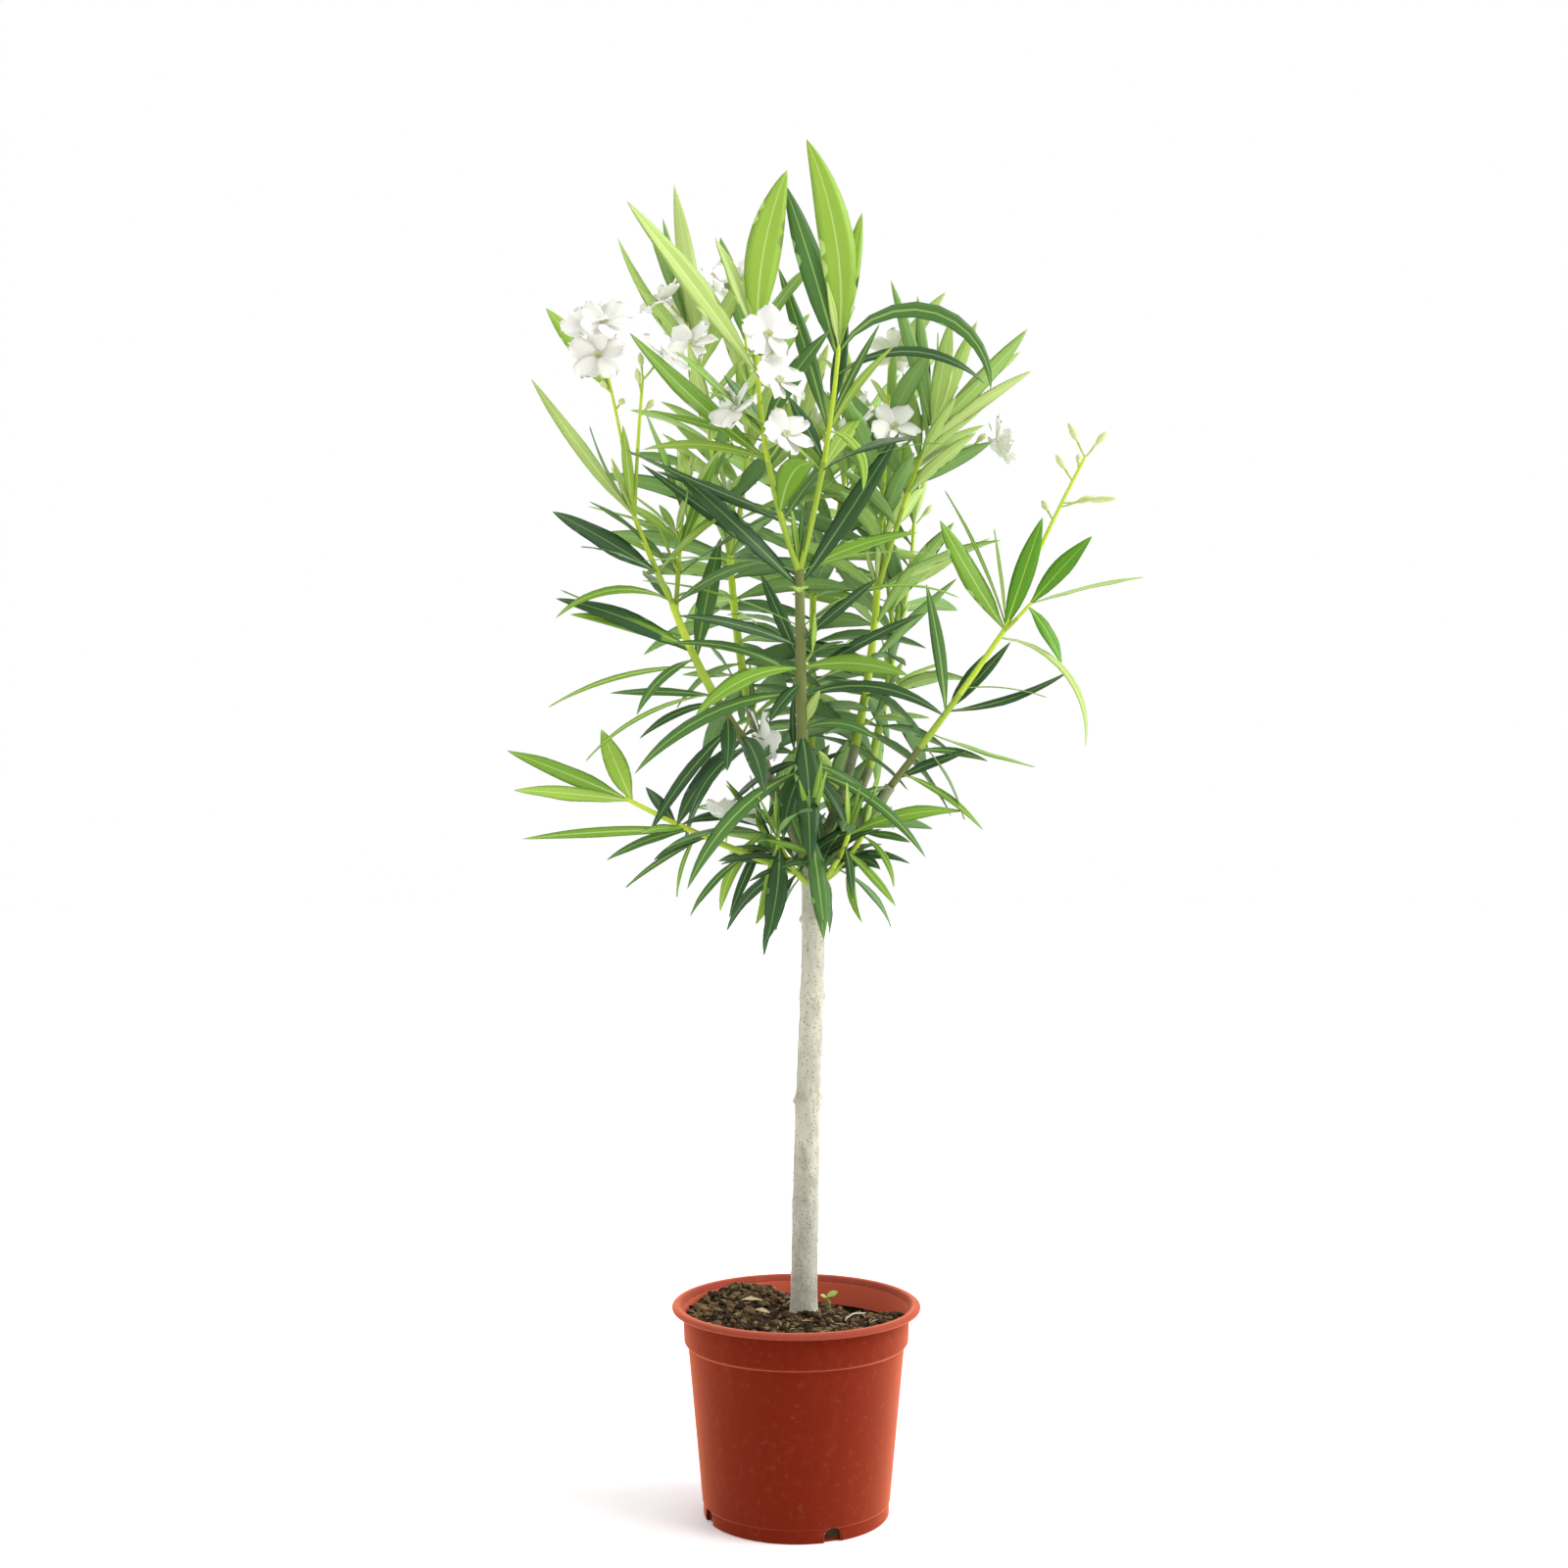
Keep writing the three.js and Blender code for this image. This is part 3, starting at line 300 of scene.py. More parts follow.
# Shoots: name, what each grows on, how far along it, bearing and lean at foot and tip, length and
# radius; of a leafy one also its first whorl's place, its count of whorls, and its leaves' length,
# opening and bend at its foot and tip
SHOOT_FIELDS = (
    "name", "on", "at", "bearing", "lean", "length", "radius", "first", "whorls", "leaf", "open", "bend",
)
SHOOT_ROWS = (
    ("leader", "bough_leader", 1, (262, 264), (11, 6), 172, (5.3, 3.8),
     10, 3, (112, 124), (98, 66), (50, 26)),
    ("leader_left", "leader", 0.97, (216, 208), (26, -2), 200, (2.7, 1.8),
     44, 3, (112, 96), (52, 24), (22, 14)),
    ("leader_right", "leader", 0.98, (332, 336), (17, 5), 188, (2.7, 1.8),
     84, 1, (116, 100), (50, 20), (24, 12)),
    ("left", "bough_left", 1, (195, 190), (38, 19), 142, (4.3, 3),
     14, 2, (108, 104), (100, 66), (48, 24)),
    ("left_upper", "left", 0.97, (187, 187), (27, 20), 84, (2.6, 1.9),
     30, 1, (98, 86), (58, 38), (20, 12)),
    ("left_inner", "left", 0.93, (84, 80), (22, 12), 96, (2.2, 1.6),
     34, 3, (92, 78), (50, 26), (18, 10)),
    ("left_stalk", "left_upper", 0.96, (320, 330), (3, 6), 116, (1.7, 1.2)),
    ("left_far_stalk", "left_upper", 0.94, (200, 196), (9, 14), 130, (1.6, 1.2)),
    ("right", "bough_right", 1, (352, 354), (38, 34), 168, (4.4, 2.9)),
    ("right_stalk", "right", 0.97, (350, 353), (22, 28), 158, (2.1, 1.3)),
    ("right_side", "right", 0.95, (334, 340), (50, 42), 34, (1.9, 1.5)),
    ("inner_right", "bough_inner_right", 1, (42, 36), (17, 4), 142, (4, 3),
     16, 3, (112, 112), (98, 66), (50, 26)),
    ("inner_right_a", "inner_right", 0.97, (66, 40), (8, 4), 204, (2.6, 1.7),
     34, 4, (108, 92), (60, 26), (24, 12)),
    ("inner_right_b", "inner_right", 0.96, (344, 350), (16, 22), 154, (2.5, 1.7),
     30, 3, (106, 100), (58, 26), (22, 12)),
    ("inner_right_c", "inner_right_b", 0.7, (0, 2), (61, 73), 62, (1.6, 1.2)),
    ("back_left", "bough_back_left", 1, (136, 130), (16, 5), 134, (4, 2.9),
     16, 4, (112, 112), (98, 66), (50, 26)),
    ("back_left_a", "back_left", 0.97, (160, 164), (12, 6), 174, (2.5, 1.7),
     40, 3, (108, 92), (60, 30), (22, 12)),
    ("back_left_stalk", "back_left_a", 0.97, (176, 170), (18, 20), 46, (1.5, 1.2)),
    ("back_left_b", "back_left", 0.96, (64, 72), (27, 6), 160, (2.5, 1.7),
     40, 3, (106, 92), (58, 28), (22, 12)),
    ("back_left_b_stalk", "back_left_b", 0.97, (176, 184), (4, 8), 92, (1.5, 1.2)),
    ("back", "bough_back", 1, (88, 84), (24, 10), 150, (3.9, 2.9),
     14, 4, (112, 112), (98, 62), (48, 24)),
    ("back_a", "back", 0.97, (116, 110), (20, 6), 158, (2.5, 1.7),
     38, 3, (108, 96), (60, 28), (22, 12)),
    ("back_b", "back", 0.96, (30, 44), (24, 8), 150, (2.5, 1.7),
     38, 3, (106, 96), (60, 28), (22, 12)),
    ("back_right", "bough_back_right", 1, (66, 66), (36, 22), 140, (3.9, 2.9),
     16, 3, (108, 104), (98, 62), (46, 24)),
    ("back_right_a", "back_right", 0.97, (50, 70), (26, 10), 118, (2.4, 1.6),
     30, 3, (100, 90), (58, 28), (22, 12)),
    ("back_right_b", "back_right", 0.95, (112, 100), (20, 8), 128, (2.4, 1.6),
     30, 3, (104, 92), (58, 28), (22, 12)),
    ("low_left", "trunk", 0.945, (192, 190), (72, 62), 174, (3.2, 1.9)),
)

# Flowers and buds of a shoot: (how far back from its tip, bearing, lean, length)
BLOOMS = {
    "leader_left": ((10, 292, 80, 26), (58, 304, 62, 34), (104, 300, 60, 36), (84, 226, 62, 40)),
    "left": ((134, 24, 66, 18),),
    "left_stalk": ((4, 342, 42, 30),),
    "left_far_stalk": ((1, 275, 52, 46), (4, 246, 46, 46), (0, 264, 88, 28)),
    "inner_right_a": ((60, 216, 76, 34), (74, 284, 66, 32), (8, 80, 44, 30)),
    "inner_right_c": ((2, 12, 70, 20),),
    "back_left_a": ((8, 256, 58, 38),),
    "back_left_stalk": ((0, 206, 48, 28), (2, 344, 44, 42), (8, 96, 60, 28)),
    "back_left_b_stalk": ((0, 262, 40, 26), (8, 80, 56, 28)),
    "back_a": ((6, 70, 50, 30), (24, 150, 62, 30)),
    "low_left": ((94, 300, 24, 30),),
}
BUDS = {
    "left_stalk": ((2, 110, 20, 24), (34, 30, 40, 20), (16, 262, 46, 26)),
    "left_far_stalk": ((26, 215, 50, 14), (40, 340, 40, 12)),
    "right_stalk": ((2, 182, 26, 32), (2, 352, 40, 28), (48, 352, 74, 30), (44, 340, 88, 46),
        (24, 190, 34, 26), (14, 80, 50, 26), (60, 120, 40, 24)),
    "inner_right_c": ((10, 330, 50, 20),),
    "back_right_a": ((4, 20, 44, 28), (18, 90, 64, 30)),
}

# The tone of leaves whose saturated green is painted light shining through them from behind, above the range
# of the other tones
PAINTED_BACKLIGHT_TONE = 1.5

# Single leaves, listed one by one: (along, bearing, lean, length, width, bend, roll, tone)
SINGLE_LEAVES = {
    "leader": (
        (155, 196, 46, 148, 19, 6, 0, 0.1), (157, 348, 36, 150, 18, -4, 0, 0.05),
        (169, 184, 76, 132, 8, 22, -50, 0.6), (169, 354, 68, 110, 5, 30, 55, 0.55),
        (123, 188, 62, 138, 8, 25, -45, 0.5), (110, 342, 50, 84, 11, 5, 0, 0.1),
        (121, 348, 44, 144, 7, 72, 40, 0.5), (106, 202, 68, 110, 12, 20, 0, 0.1),
        (80, 348, 58, 116, 11, 10, 0, 0.05), (80, 192, 56, 116, 9, 40, 0, 0.2),
        (76, 228, 120, 52, 12, 20, 0, 0.15), (67, 200, 90, 164, 13, 50, 0, 0.3),
        (64, 340, 68, 130, 12, 60, 0, 0.2), (3, 212, 108, 152, 14, 46, 0, 0.35),
        (3, 334, 100, 136, 10, 46, 0, 0.35), (33, 280, 132, 96, 22, 40, 0, 0.15),
        (90, 152, 24, 88, 12, 4, 0, 0.1), (39, 318, 28, 36, 10, 10, 0, 0.8),
        (37, 332, 68, 74, 10, 60, 0, 0.2), (163, 168, 54, 168, 12, 0, 0, 0.05),
        (1, 244, 120, 70, 13, 50, 0, 0.2), (151, 269, 88, 130, 17, 14, 0, 0.7),
    ),
    "leader_left": (
        (165, 190, 35, 174, 21, 6, 0, 0.85), (197, 350, -2, 140, 29, -24, 0, 0.65),
        (96, 186, 54, 152, 19, -12, 0, 0.45), (50, 194, 72, 138, 7, -6, 0, 0.15),
        (68, 308, 36, 48, 10, 64, 0, 0.6), (96, 186, 68, 104, 11, 36, 0, 0.6),
        (112, 174, 74, 98, 9, 0, 0, 0.5), (52, 280, 42, 102, 23, 65, 0, 0.45),
    ),
    "leader_right": (
        (184, 343, 7, 174, 29, -31, 0, 0.7), (176, 182, 14, 150, 22, 6, 0, 0.3),
        (186, 14, 8, 114, 16, 6, 0, 0.7), (180, 350, 29, 176, 14, 152, 0, 0.35),
        (162, 356, 52, 134, 11, 84, 0, 0.1), (125, 346, 26, 88, 7, 4, 0, 0.3),
        (133, 30, 10, 82, 12, 4, 0, 0.15), (116, 340, 28, 88, 8, 24, 0, 0.65),
        (92, 200, 28, 60, 12, 6, 0, 0.1), (117, 328, 100, 68, 9, 96, 0, 0.7),
        (65, 352, 44, 114, 4, 50, 55, 0.4), (116, 148, 16, 150, 14, 6, 0, 0.3),
    ),
    "left": (
        (12, 196, 127, 93, 17, 30, 0, 0.15),
        (96, 188, 58, 122, 18, 22, 0, 0.2), (100, 188, 64, 104, 13, 22, 10, 0.45),
        (142, 196, 64, 106, 8, 72, 0, 0.6), (82, 184, 88, 132, 5, 34, 55, 0.5),
        (55, 168, 82, 92, 9, 12, 0, 0.25), (90, 212, 106, 76, 9, 50, 0, 0.2),
        (48, 196, 94, 76, 8, 40, 0, 0.2), (109, 180, 72, 112, 3, -6, 60, 0.3),
        (35, 276, 124, 62, 13, 30, 0, 0.15), (26, 188, 132, 114, 12, 20, 0, 0.1),
        (5, 212, 112, 86, 10, 50, 0, 0.15), (57, 186, 96, 124, 4, 44, 50, 0.5),
        (89, 54, 14, 110, 17, 6, 0, 0.4),
    ),
    "left_upper": (
        (30, 192, 57, 100, 21, 8, 0, 0.15), (80, 184, 40, 142, 13, -6, 0, 0.85),
        (84, 190, 38, 80, 3, -22, 60, 0.3), (84, 232, 10, 72, 9, 0, 0, 0.65),
    ),
    "left_inner": (
        (56, 352, 20, 88, 10, 6, 0, 0.6),
    ),
    "left_far_stalk": (
        (104, 186, 34, 88, 18, 8, 0, 0.7),
    ),
    "right": (
        (162, 184, 34, 106, 20, -6, 0, 0.5), (162, 323, 22, 98, 18, 2, 0, PAINTED_BACKLIGHT_TONE),
        (77, 242, 10, 110, 11, 10, 0, 0.3), (79, 354, 86, 107, 9, -28, 0, 0.15),
        (103, 352, 84, 70, 5, 26, 45, 0.5), (80, 20, 36, 60, 11, 0, 0, 0.15),
        (79, 16, 46, 82, 10, -5, 0, 0.15), (56, 352, 112, 92, 8, -8, 30, 0.45),
        (38, 350, 84, 60, 8, 30, 0, 0.3), (8, 348, 64, 64, 10, 10, 0, 0.15),
        (14, 336, 108, 88, 7, 30, 0, 0.45), (45, 328, 134, 76, 5, 30, 40, 0.4),
        (154, 344, 95, 131, 6.5, 94, 0, 0.85), (164, 168, 16, 128, 4, 16, 55, 0.45),
        (164, 182, 4, 84, 4, 6, 50, 0.7), (0, 204, 96, 72, 10, 56, 0, 0.35),
    ),
    "right_side": (
        (32, 350, 41, 76, 17, 4, 0, PAINTED_BACKLIGHT_TONE), (33, 346, 74, 96, 10, 8, 30, 0.85),
        (30, 0, 138, 56, 13, 24, 0, PAINTED_BACKLIGHT_TONE),
    ),
    "inner_right": (
        (74, 344, 44, 106, 10, 6, 0, 0.35), (106, 336, 32, 84, 9, 6, 0, 0.45),
        (141, 12, 70, 114, 9, -8, 0, 0.7),
    ),
    "inner_right_b": (
        (134, 0, 49, 114, 12, 12, 0, 0.85), (146, 332, 24, 102, 14, 6, 0, 0.8),
        (150, 188, 14, 132, 12, 4, 0, 0.35), (138, 200, 2, 126, 12, 4, 0, 0.4),
        (97, 344, 60, 80, 15, 8, 0, 0.35), (147, 352, 48, 120, 17, -8, 0, 0.5),
    ),
    "back_left": (
        (122, 172, 60, 100, 14, 8, 0, 0.2), (132, 180, 66, 132, 6, 10, 40, 0.4),
    ),
    "back_left_a": (
        (172, 200, 8, 158, 17, 4, 0, 0.85), (170, 184, 44, 136, 10, -22, 0, 0.7),
    ),
    "back_left_stalk": (
        (38, 174, 20, 96, 8, 4, 0, 0.25), (39, 156, 14, 102, 9, 0, 0, 0.2),
    ),
    "back_left_b_stalk": (
        (50, 200, 12, 96, 16, 6, 0, 0.35), (55, 0, 4, 90, 8, 0, 0, 0.3),
    ),
    "low_left": (
        (170, 184, 66, 108, 17, 4, 0, 0.6), (168, 202, 82, 100, 15, 6, 0, 0.7),
        (166, 176, 24, 66, 19, 4, 0, 0.75), (112, 184, 89, 140, 9, 8, 45, 0.5),
        (112, 196, 96, 76, 9, 26, 0, 0.25), (98, 192, 112, 80, 5, 20, 30, 0.4),
        (96, 212, 96, 56, 8, 26, 0, 0.2), (105, 226, 134, 60, 4, 40, 30, 0.5),
        (115, 216, 84, 48, 8, 20, 0, 0.55), (125, 192, 40, 40, 11, 0, 0, 0.1),
        (59, 200, 118, 74, 7, 34, 0, 0.35),
    ),
    "skirt_1": (
        (70, 358, 172, 88, 15, 26, 0, 0.35),
    ),
    "skirt_2": (
        (58, 272, 168, 84, 18, 20, 0, 0.15), (64, 92, 170, 76, 13, 40, 0, 0.8),
    ),
    "skirt_3": (
        (54, 332, 124, 68, 8, 20, 0, 0.4), (58, 284, 130, 50, 7, 50, 0, 0.1),
    ),
    "skirt_4": (
        (53, 180, 156, 72, 8, 60, 0, 0.55), (60, 332, 116, 54, 6, 60, 0, 0.5),
        (62, 332, 86, 44, 8, 26, 0, 0.2),
    ),
    "skirt_7": (
        (65, 200, 126, 82, 11, 50, 0, 0.65), (62, 236, 136, 82, 9, 36, 0, 0.1),
    ),
}

# Leaves of the whorls that aren't grown: (whorl, order in it)
LEFT_OUT = {
    "leader": ((2, 2),), "leader_left": ((0, 0), (2, 2)),
    "inner_right": ((1, 0), (1.5, 0)),
    "back_b": ((0.5, 0),),
    "left": ((1, 0),),
    "left_upper": ((0, 1),),
    "inner_right_a": ((0, 0), (0, 1), (0.5, 0), (2.5, 0), (2.5, 1), (3, 0), (3, 1)),
    "inner_right_b": ((0, 0), (0.5, 0)),
    "back_left": ((1, 2),),
    "back_left_a": ((1.5, 0), (1.5, 2)),
    "back_left_b": ((1.5, 0),),
    "back_a": ((1.5, 1), (1.5, 2)),
    "back_right": ((0, 1), (1.5, 0), (2, 0)),
    "back_right_a": ((0, 1), (1, 0), (1, 1), (1.5, 0), (1.5, 1), (2, 0)),
    "back_right_b": ((1, 1), (1.5, 0)),
    "skirt_3": ((0, 0),),
    "skirt_8": ((0, 0), (1, 0)),
}

# The short shoots round the trunk's head: bearing, how far up the trunk, length, count of whorls
SKIRT_SHOOTS = (
    (268, 0.935, 74, 1),
    (230, 0.925, 66, 2),
    (306, 0.925, 70, 2),
    (344, 0.935, 62, 1),
    (64, 0.935, 68, 2),
    (106, 0.925, 70, 2),
    (150, 0.935, 70, 2),
    (22, 0.925, 58, 2),
)

SKIRT_LEAN = (68, 26)
SKIRT_RADIUS = (2.8, 1.9)
SKIRT_LEAF = {"first": 24, "leaf": (78, 92), "open": (60, 46), "bend": (50, 40)}

# How light each shoot's leaves are, from its foot to its tip: 0 is the oldest green, 1 the youngest
TONES = {
    "leader": (0.1, 0.4), "leader_left": (0.4, 0.85), "leader_right": (0.35, 0.85),
    "left": (0.1, 0.4), "left_upper": (0.45, 0.85), "left_inner": (0.4, 0.8), "left_far_stalk": (0.9, 0.9),
    "right": (0.1, 0.6), "right_side": (0.7, 0.85),
    "inner_right": (0.1, 0.35), "inner_right_a": (0.3, 0.75), "inner_right_b": (0.3, 0.7),
    "inner_right_c": (0.7, 0.9),
    "back_left": (0.1, 0.35), "back_left_a": (0.4, 0.85), "back_left_b": (0.4, 0.85),
    "back": (0.1, 0.35), "back_a": (0.35, 0.8), "back_b": (0.35, 0.8),
    "back_right": (0.1, 0.4), "back_right_a": (0.25, 0.65), "back_right_b": (0.3, 0.7),
    "low_left": (0.75, 0.85),
    "left_stalk": (0.9, 0.9), "right_stalk": (0.9, 0.95), "back_left_stalk": (0.9, 0.9),
    "back_left_b_stalk": (0.9, 0.9),
}
# How young each stem's bark is at its foot and tip
STEM_TONE = (0.4, 0.95)
STEM_TONES_APART = {
    "leader": (0.0, 0.25), "left": (0.0, 0.95), "right": (0.1, 1.1), "right_stalk": (0.8, 0.95),
    "low_left": (0.3, 0.95),
}
# How much slimmer a stem is than its shoot's own radius
SLIMMER = {"right": 0.74}
SKIRT_TONE = (0.05, 0.3)
TONE_SPREAD = 0.64
SINGLE_TONE_SPREAD = 0.1
BRIGHTEST = 0.999

# Stems
STEM_TONES = 3
STEM_SIDES = 12
STEM_RING_SPACING = 5
LEAST_STEM_RINGS = 8
WHORL_SWELL = 0.45
WHORL_SWELL_LENGTH = 3.5
STEM_TIP_SHARE = 0.6

# Smaller leaves halfway between the whorls, on the shoots that end behind this plane
FINE_SHARE = 0.78
FINE_FROM_Y = 40

# Twigs in the leaf axils, each with a few small leaves
TWIG_CHANCE = 0.3
TWIG_LENGTH = (10, 14)
TWIG_RADII = (1.3, 0.8)
TWIG_RISE = 0.9
TWIG_RINGS = 4
TWIG_SIDES = 8
TWIG_LEAVES = 3
TWIG_LEAF_TURN = 0.1
TWIG_LEAF_OPEN = (24, 20)
TWIG_LEAF_LENGTH = (34, 26)
TWIG_LEAF_SLIMNESS = 0.15
TWIG_LEAF_BEND = (8, 14)
TWIG_LEAF_ROLL = 40
TWIG_LEAF_LIGHTER = 0.22

# Tufts of young leaves at the shoots' tips
TUFT_LEAVES = 4
TUFT_DEPTH = 2
TUFT_TURN = 0.12
TUFT_OPEN = (8, 12)
TUFT_LENGTH = (34, 24)
TUFT_SLIMNESS = 0.12
TUFT_BEND = 6
TUFT_ROLL = 60
TUFT_LIGHTER = 0.2


def lerp(a, b, s):
    return a + (b - a) * s


def smoothstep(x, low, high):
    s = np.clip((x - low) / (high - low), 0, 1)
    return s * s * (3 - 2 * s)


def unit(v):
    return v / np.linalg.norm(v)


# Chance comes from a whole number of 32 bits that steps by a fixed amount
WORD = 0xFFFFFFFF
STREAM_STEP = 0x6D2B79F5
FIRST_STRIDE = 131
SECOND_STRIDE = 17
LETTER_STRIDE = 31

# Where each kind of growth starts its own stream
WHORL_STREAM = 60
BETWEEN_STREAM = 90
BETWEEN_STRIDE = 50
BETWEEN_OFFSET = 7
FLOWER_STREAM = 3
TUFT_STREAM = (41, 3)


def drawer(seed):
    """A repeatable stream of numbers from 0 to 1."""
    state = seed & WORD

    def draw():
        nonlocal state
        state = (state + STREAM_STEP) & WORD
        mixed = ((state ^ (state >> 15)) * (1 | state)) & WORD
        mixed = ((mixed + (mixed ^ (mixed >> 7)) * (61 | mixed)) & WORD) ^ mixed
        return (mixed ^ (mixed >> 14)) / (WORD + 1)

    return draw


def drawn(draw, least, span, power=1):
    return least + span * draw() ** power


def seed_of(name, first, second):
    """One whole number made of a name and two numbers."""
    seed = first * FIRST_STRIDE + second * SECOND_STRIDE
    for letter in name:
        seed = (seed * LETTER_STRIDE + ord(letter)) & WORD
    return seed


def heading(bearing, lean):
    """The direction at a bearing from +X and a lean from upright, both in degrees."""
    level = math.sin(math.radians(lean))
    turn = math.radians(bearing)
    return np.array((level * math.cos(turn), level * math.sin(turn), math.cos(math.radians(lean))))


def cross_axes(axis):
    """Two directions across an axis."""
    side = np.cross(UP, axis)
    side = unit(side) if np.linalg.norm(side) > NEARLY_UPRIGHT else np.array((1.0, 0.0, 0.0))
    return side, np.cross(side, axis)


def spoke(side, front, turn):
    """The directions outward and onward at a turn round an axis."""
    return side * math.cos(turn) + front * math.sin(turn), front * math.cos(turn) - side * math.sin(turn)


def opened(axis, side, open_angle, azimuth):
    """A direction that opens from an axis, at an azimuth counted from a side."""
    return (
        axis * math.cos(open_angle)
        + side * math.sin(open_angle) * math.cos(azimuth)
        + np.cross(side, axis) * math.sin(open_angle) * math.sin(azimuth)
    )


class Limb:
    """A limb that walks from its foot while its bearing and lean change evenly."""

    def __init__(self, name, foot, bearing, lean, length, radius, **_):
        self.name = name
        self.length = length
        self.bearing = bearing
        self.lean = lean
        self.ends = radius
        points = [np.array(foot, float)]
        for i in range(LIMB_STEPS):
            points.append(points[-1] + self.direction((i + 0.5) / LIMB_STEPS) * length / LIMB_STEPS)
        self.points = np.array(points)

    def direction(self, s):
        return heading(lerp(*self.bearing, s), lerp(*self.lean, s))

    def side(self, s):
        turn = math.radians(lerp(*self.bearing, s))
        return np.array((-math.sin(turn), math.cos(turn), 0.0))

    def point(self, s):
        reach = min(max(s, 0) * LIMB_STEPS, LIMB_STEPS - HAIR)
        i = int(reach)
        return lerp(self.points[i], self.points[i + 1], reach - i)

    def radius(self, s):
        return lerp(*self.ends, s)


class Trunk:
    """A slow drift to the right with a bow near the top, a root flare and four old knots."""

    name = "trunk"
    length = TRUNK_HEIGHT

    def point(self, s):
        x = TRUNK_FOOT_X + TRUNK_DRIFT * s + TRUNK_BOW * math.sin(math.pi * max(s, 0) ** 3)
        return np.array((x, 0.0, GROUND_Z + TRUNK_HEIGHT * s))

    def radius(self, s):
        height = s * TRUNK_HEIGHT
        flare = ROOT_FLARE * math.exp(-height / ROOT_FLARE_HEIGHT)
        swell = sum(k["swell"] * math.exp(-(((height - k["height"]) / KNOT_HALF_LENGTH) ** 2)) for k in KNOTS)
        return lerp(TRUNK_FOOT_RADIUS, TRUNK_TIP_RADIUS, s**1.5) + flare + swell

    def direction(self, s):
        return UP

    def side(self, s):
        return np.array((0.0, 1.0, 0.0))


# Materials


class Nodes:
    """A material's node tree, with short ways to add what the finishes here share."""

    def __init__(self, name, **values):
        self.material = bpy.data.materials.new(name)
        self.material.use_nodes = True
        self.tree = self.material.node_tree
        self.shader = self.tree.nodes["Principled BSDF"]
        for key, value in values.items():
            socket = self.shader.inputs[key.replace("_", " ")]
            socket.default_value = (*value, 1) if socket.type == "RGBA" else value
        self.place = self.add("ShaderNodeTexCoord").outputs["Object"]

    def add(self, kind, **settings):
        node = self.tree.nodes.new(kind)
        for key, value in settings.items():
            if hasattr(node, key):
                setattr(node, key, value)
            else:
                node.inputs[key.replace("_", " ")].default_value = value
        return node

    def link(self, a, b):
        self.tree.links.new(a, b)

    def noise(self, scale, detail=3, roughness=0.55, stretch=None):
        node = self.add("ShaderNodeTexNoise", Scale=scale, Detail=detail, Roughness=roughness)
        place = self.place
        if stretch is not None:
            mapping = self.add("ShaderNodeMapping", Scale=stretch)
            self.link(place, mapping.inputs["Vector"])
            place = mapping.outputs["Vector"]
        self.link(place, node.inputs["Vector"])
        return node.outputs["Fac"]

    def spots(self, scale):
        node = self.add("ShaderNodeTexVoronoi", feature="F1", Scale=scale)
        self.link(self.place, node.inputs["Vector"])
        return node.outputs["Distance"]

    def ramp(self, factor, *stops):
        """A change from stop to stop, each of them a place and a colour or grey."""
        node = self.add("ShaderNodeValToRGB")
        elements = node.color_ramp.elements
        for element, (place, colour) in zip(elements, stops):
            element.position = place
            element.color = (*colour, 1) if isinstance(colour, tuple) else (colour, colour, colour, 1)
        self.link(factor, node.inputs["Fac"])
        return node.outputs["Color"]

    def mix(self, factor, a, b):
        node = self.add("ShaderNodeMix", data_type="RGBA")
        for value, socket in ((factor, node.inputs[0]), (a, node.inputs[6]), (b, node.inputs[7])):
            if isinstance(value, bpy.types.NodeSocket):
                self.link(value, socket)
            else:
                socket.default_value = (*value, 1)
        return node.outputs[2]

    def bump(self, height, distance, strength):
        node = self.add("ShaderNodeBump", Strength=strength, Distance=distance)
        self.link(height, node.inputs["Height"])
        self.link(node.outputs["Normal"], self.shader.inputs["Normal"])

    def drive(self, socket, source):
        self.link(source, self.shader.inputs[socket])


def plain_finish(name, colour, roughness, scale, bump, **values):
    """One base colour, with a fine grain in its roughness and relief."""
    nodes = Nodes(name, Base_Color=colour, **values)
    grain = nodes.noise(scale, detail=4)
    nodes.drive("Roughness", nodes.ramp(grain, (0.3, roughness[0]), (0.7, roughness[1])))
    nodes.bump(grain, distance=bump, strength=0.6)
    return nodes.material


DUST_COLOUR = (0.42, 0.17, 0.1)
STREAK_COLOUR = (0.36, 0.1, 0.05)
STREAK_SHARE = 0.06
PLASTIC_SHEEN = (1, 0.31, 0.18)


def pot_finish(name, deep, bright, dust_share):
    """Smooth coloured plastic, a little cloudy, with specks of dust and faint upright wear."""
    nodes = Nodes(name, Specular_IOR_Level=0.0, Sheen_Weight=1.0, Sheen_Roughness=0.45,
                  Sheen_Tint=PLASTIC_SHEEN)
    cloud = nodes.noise(scale=9, detail=5)
    dust = nodes.ramp(nodes.noise(scale=150, detail=8, roughness=0.75), (0.54, 0.0), (0.74, 1.0))
    upright = nodes.noise(scale=60, detail=4, roughness=0.6, stretch=(1, 1, 0.12))
    streaks = nodes.ramp(upright, (0.52, 0.0), (0.75, 1.0))
    base = nodes.mix(cloud, deep, bright)
    worn = nodes.mix(nodes.ramp(dust, (0.0, 0.0), (1.0, dust_share)), base, DUST_COLOUR)
    worn = nodes.mix(nodes.ramp(streaks, (0.0, 0.0), (1.0, STREAK_SHARE)), worn, STREAK_COLOUR)
    nodes.drive("Base Color", worn)
    nodes.drive("Roughness", nodes.ramp(dust, (0.0, 0.33), (1.0, 0.5)))
    nodes.bump(nodes.noise(scale=260), distance=0.00012, strength=0.5)
    return nodes.material


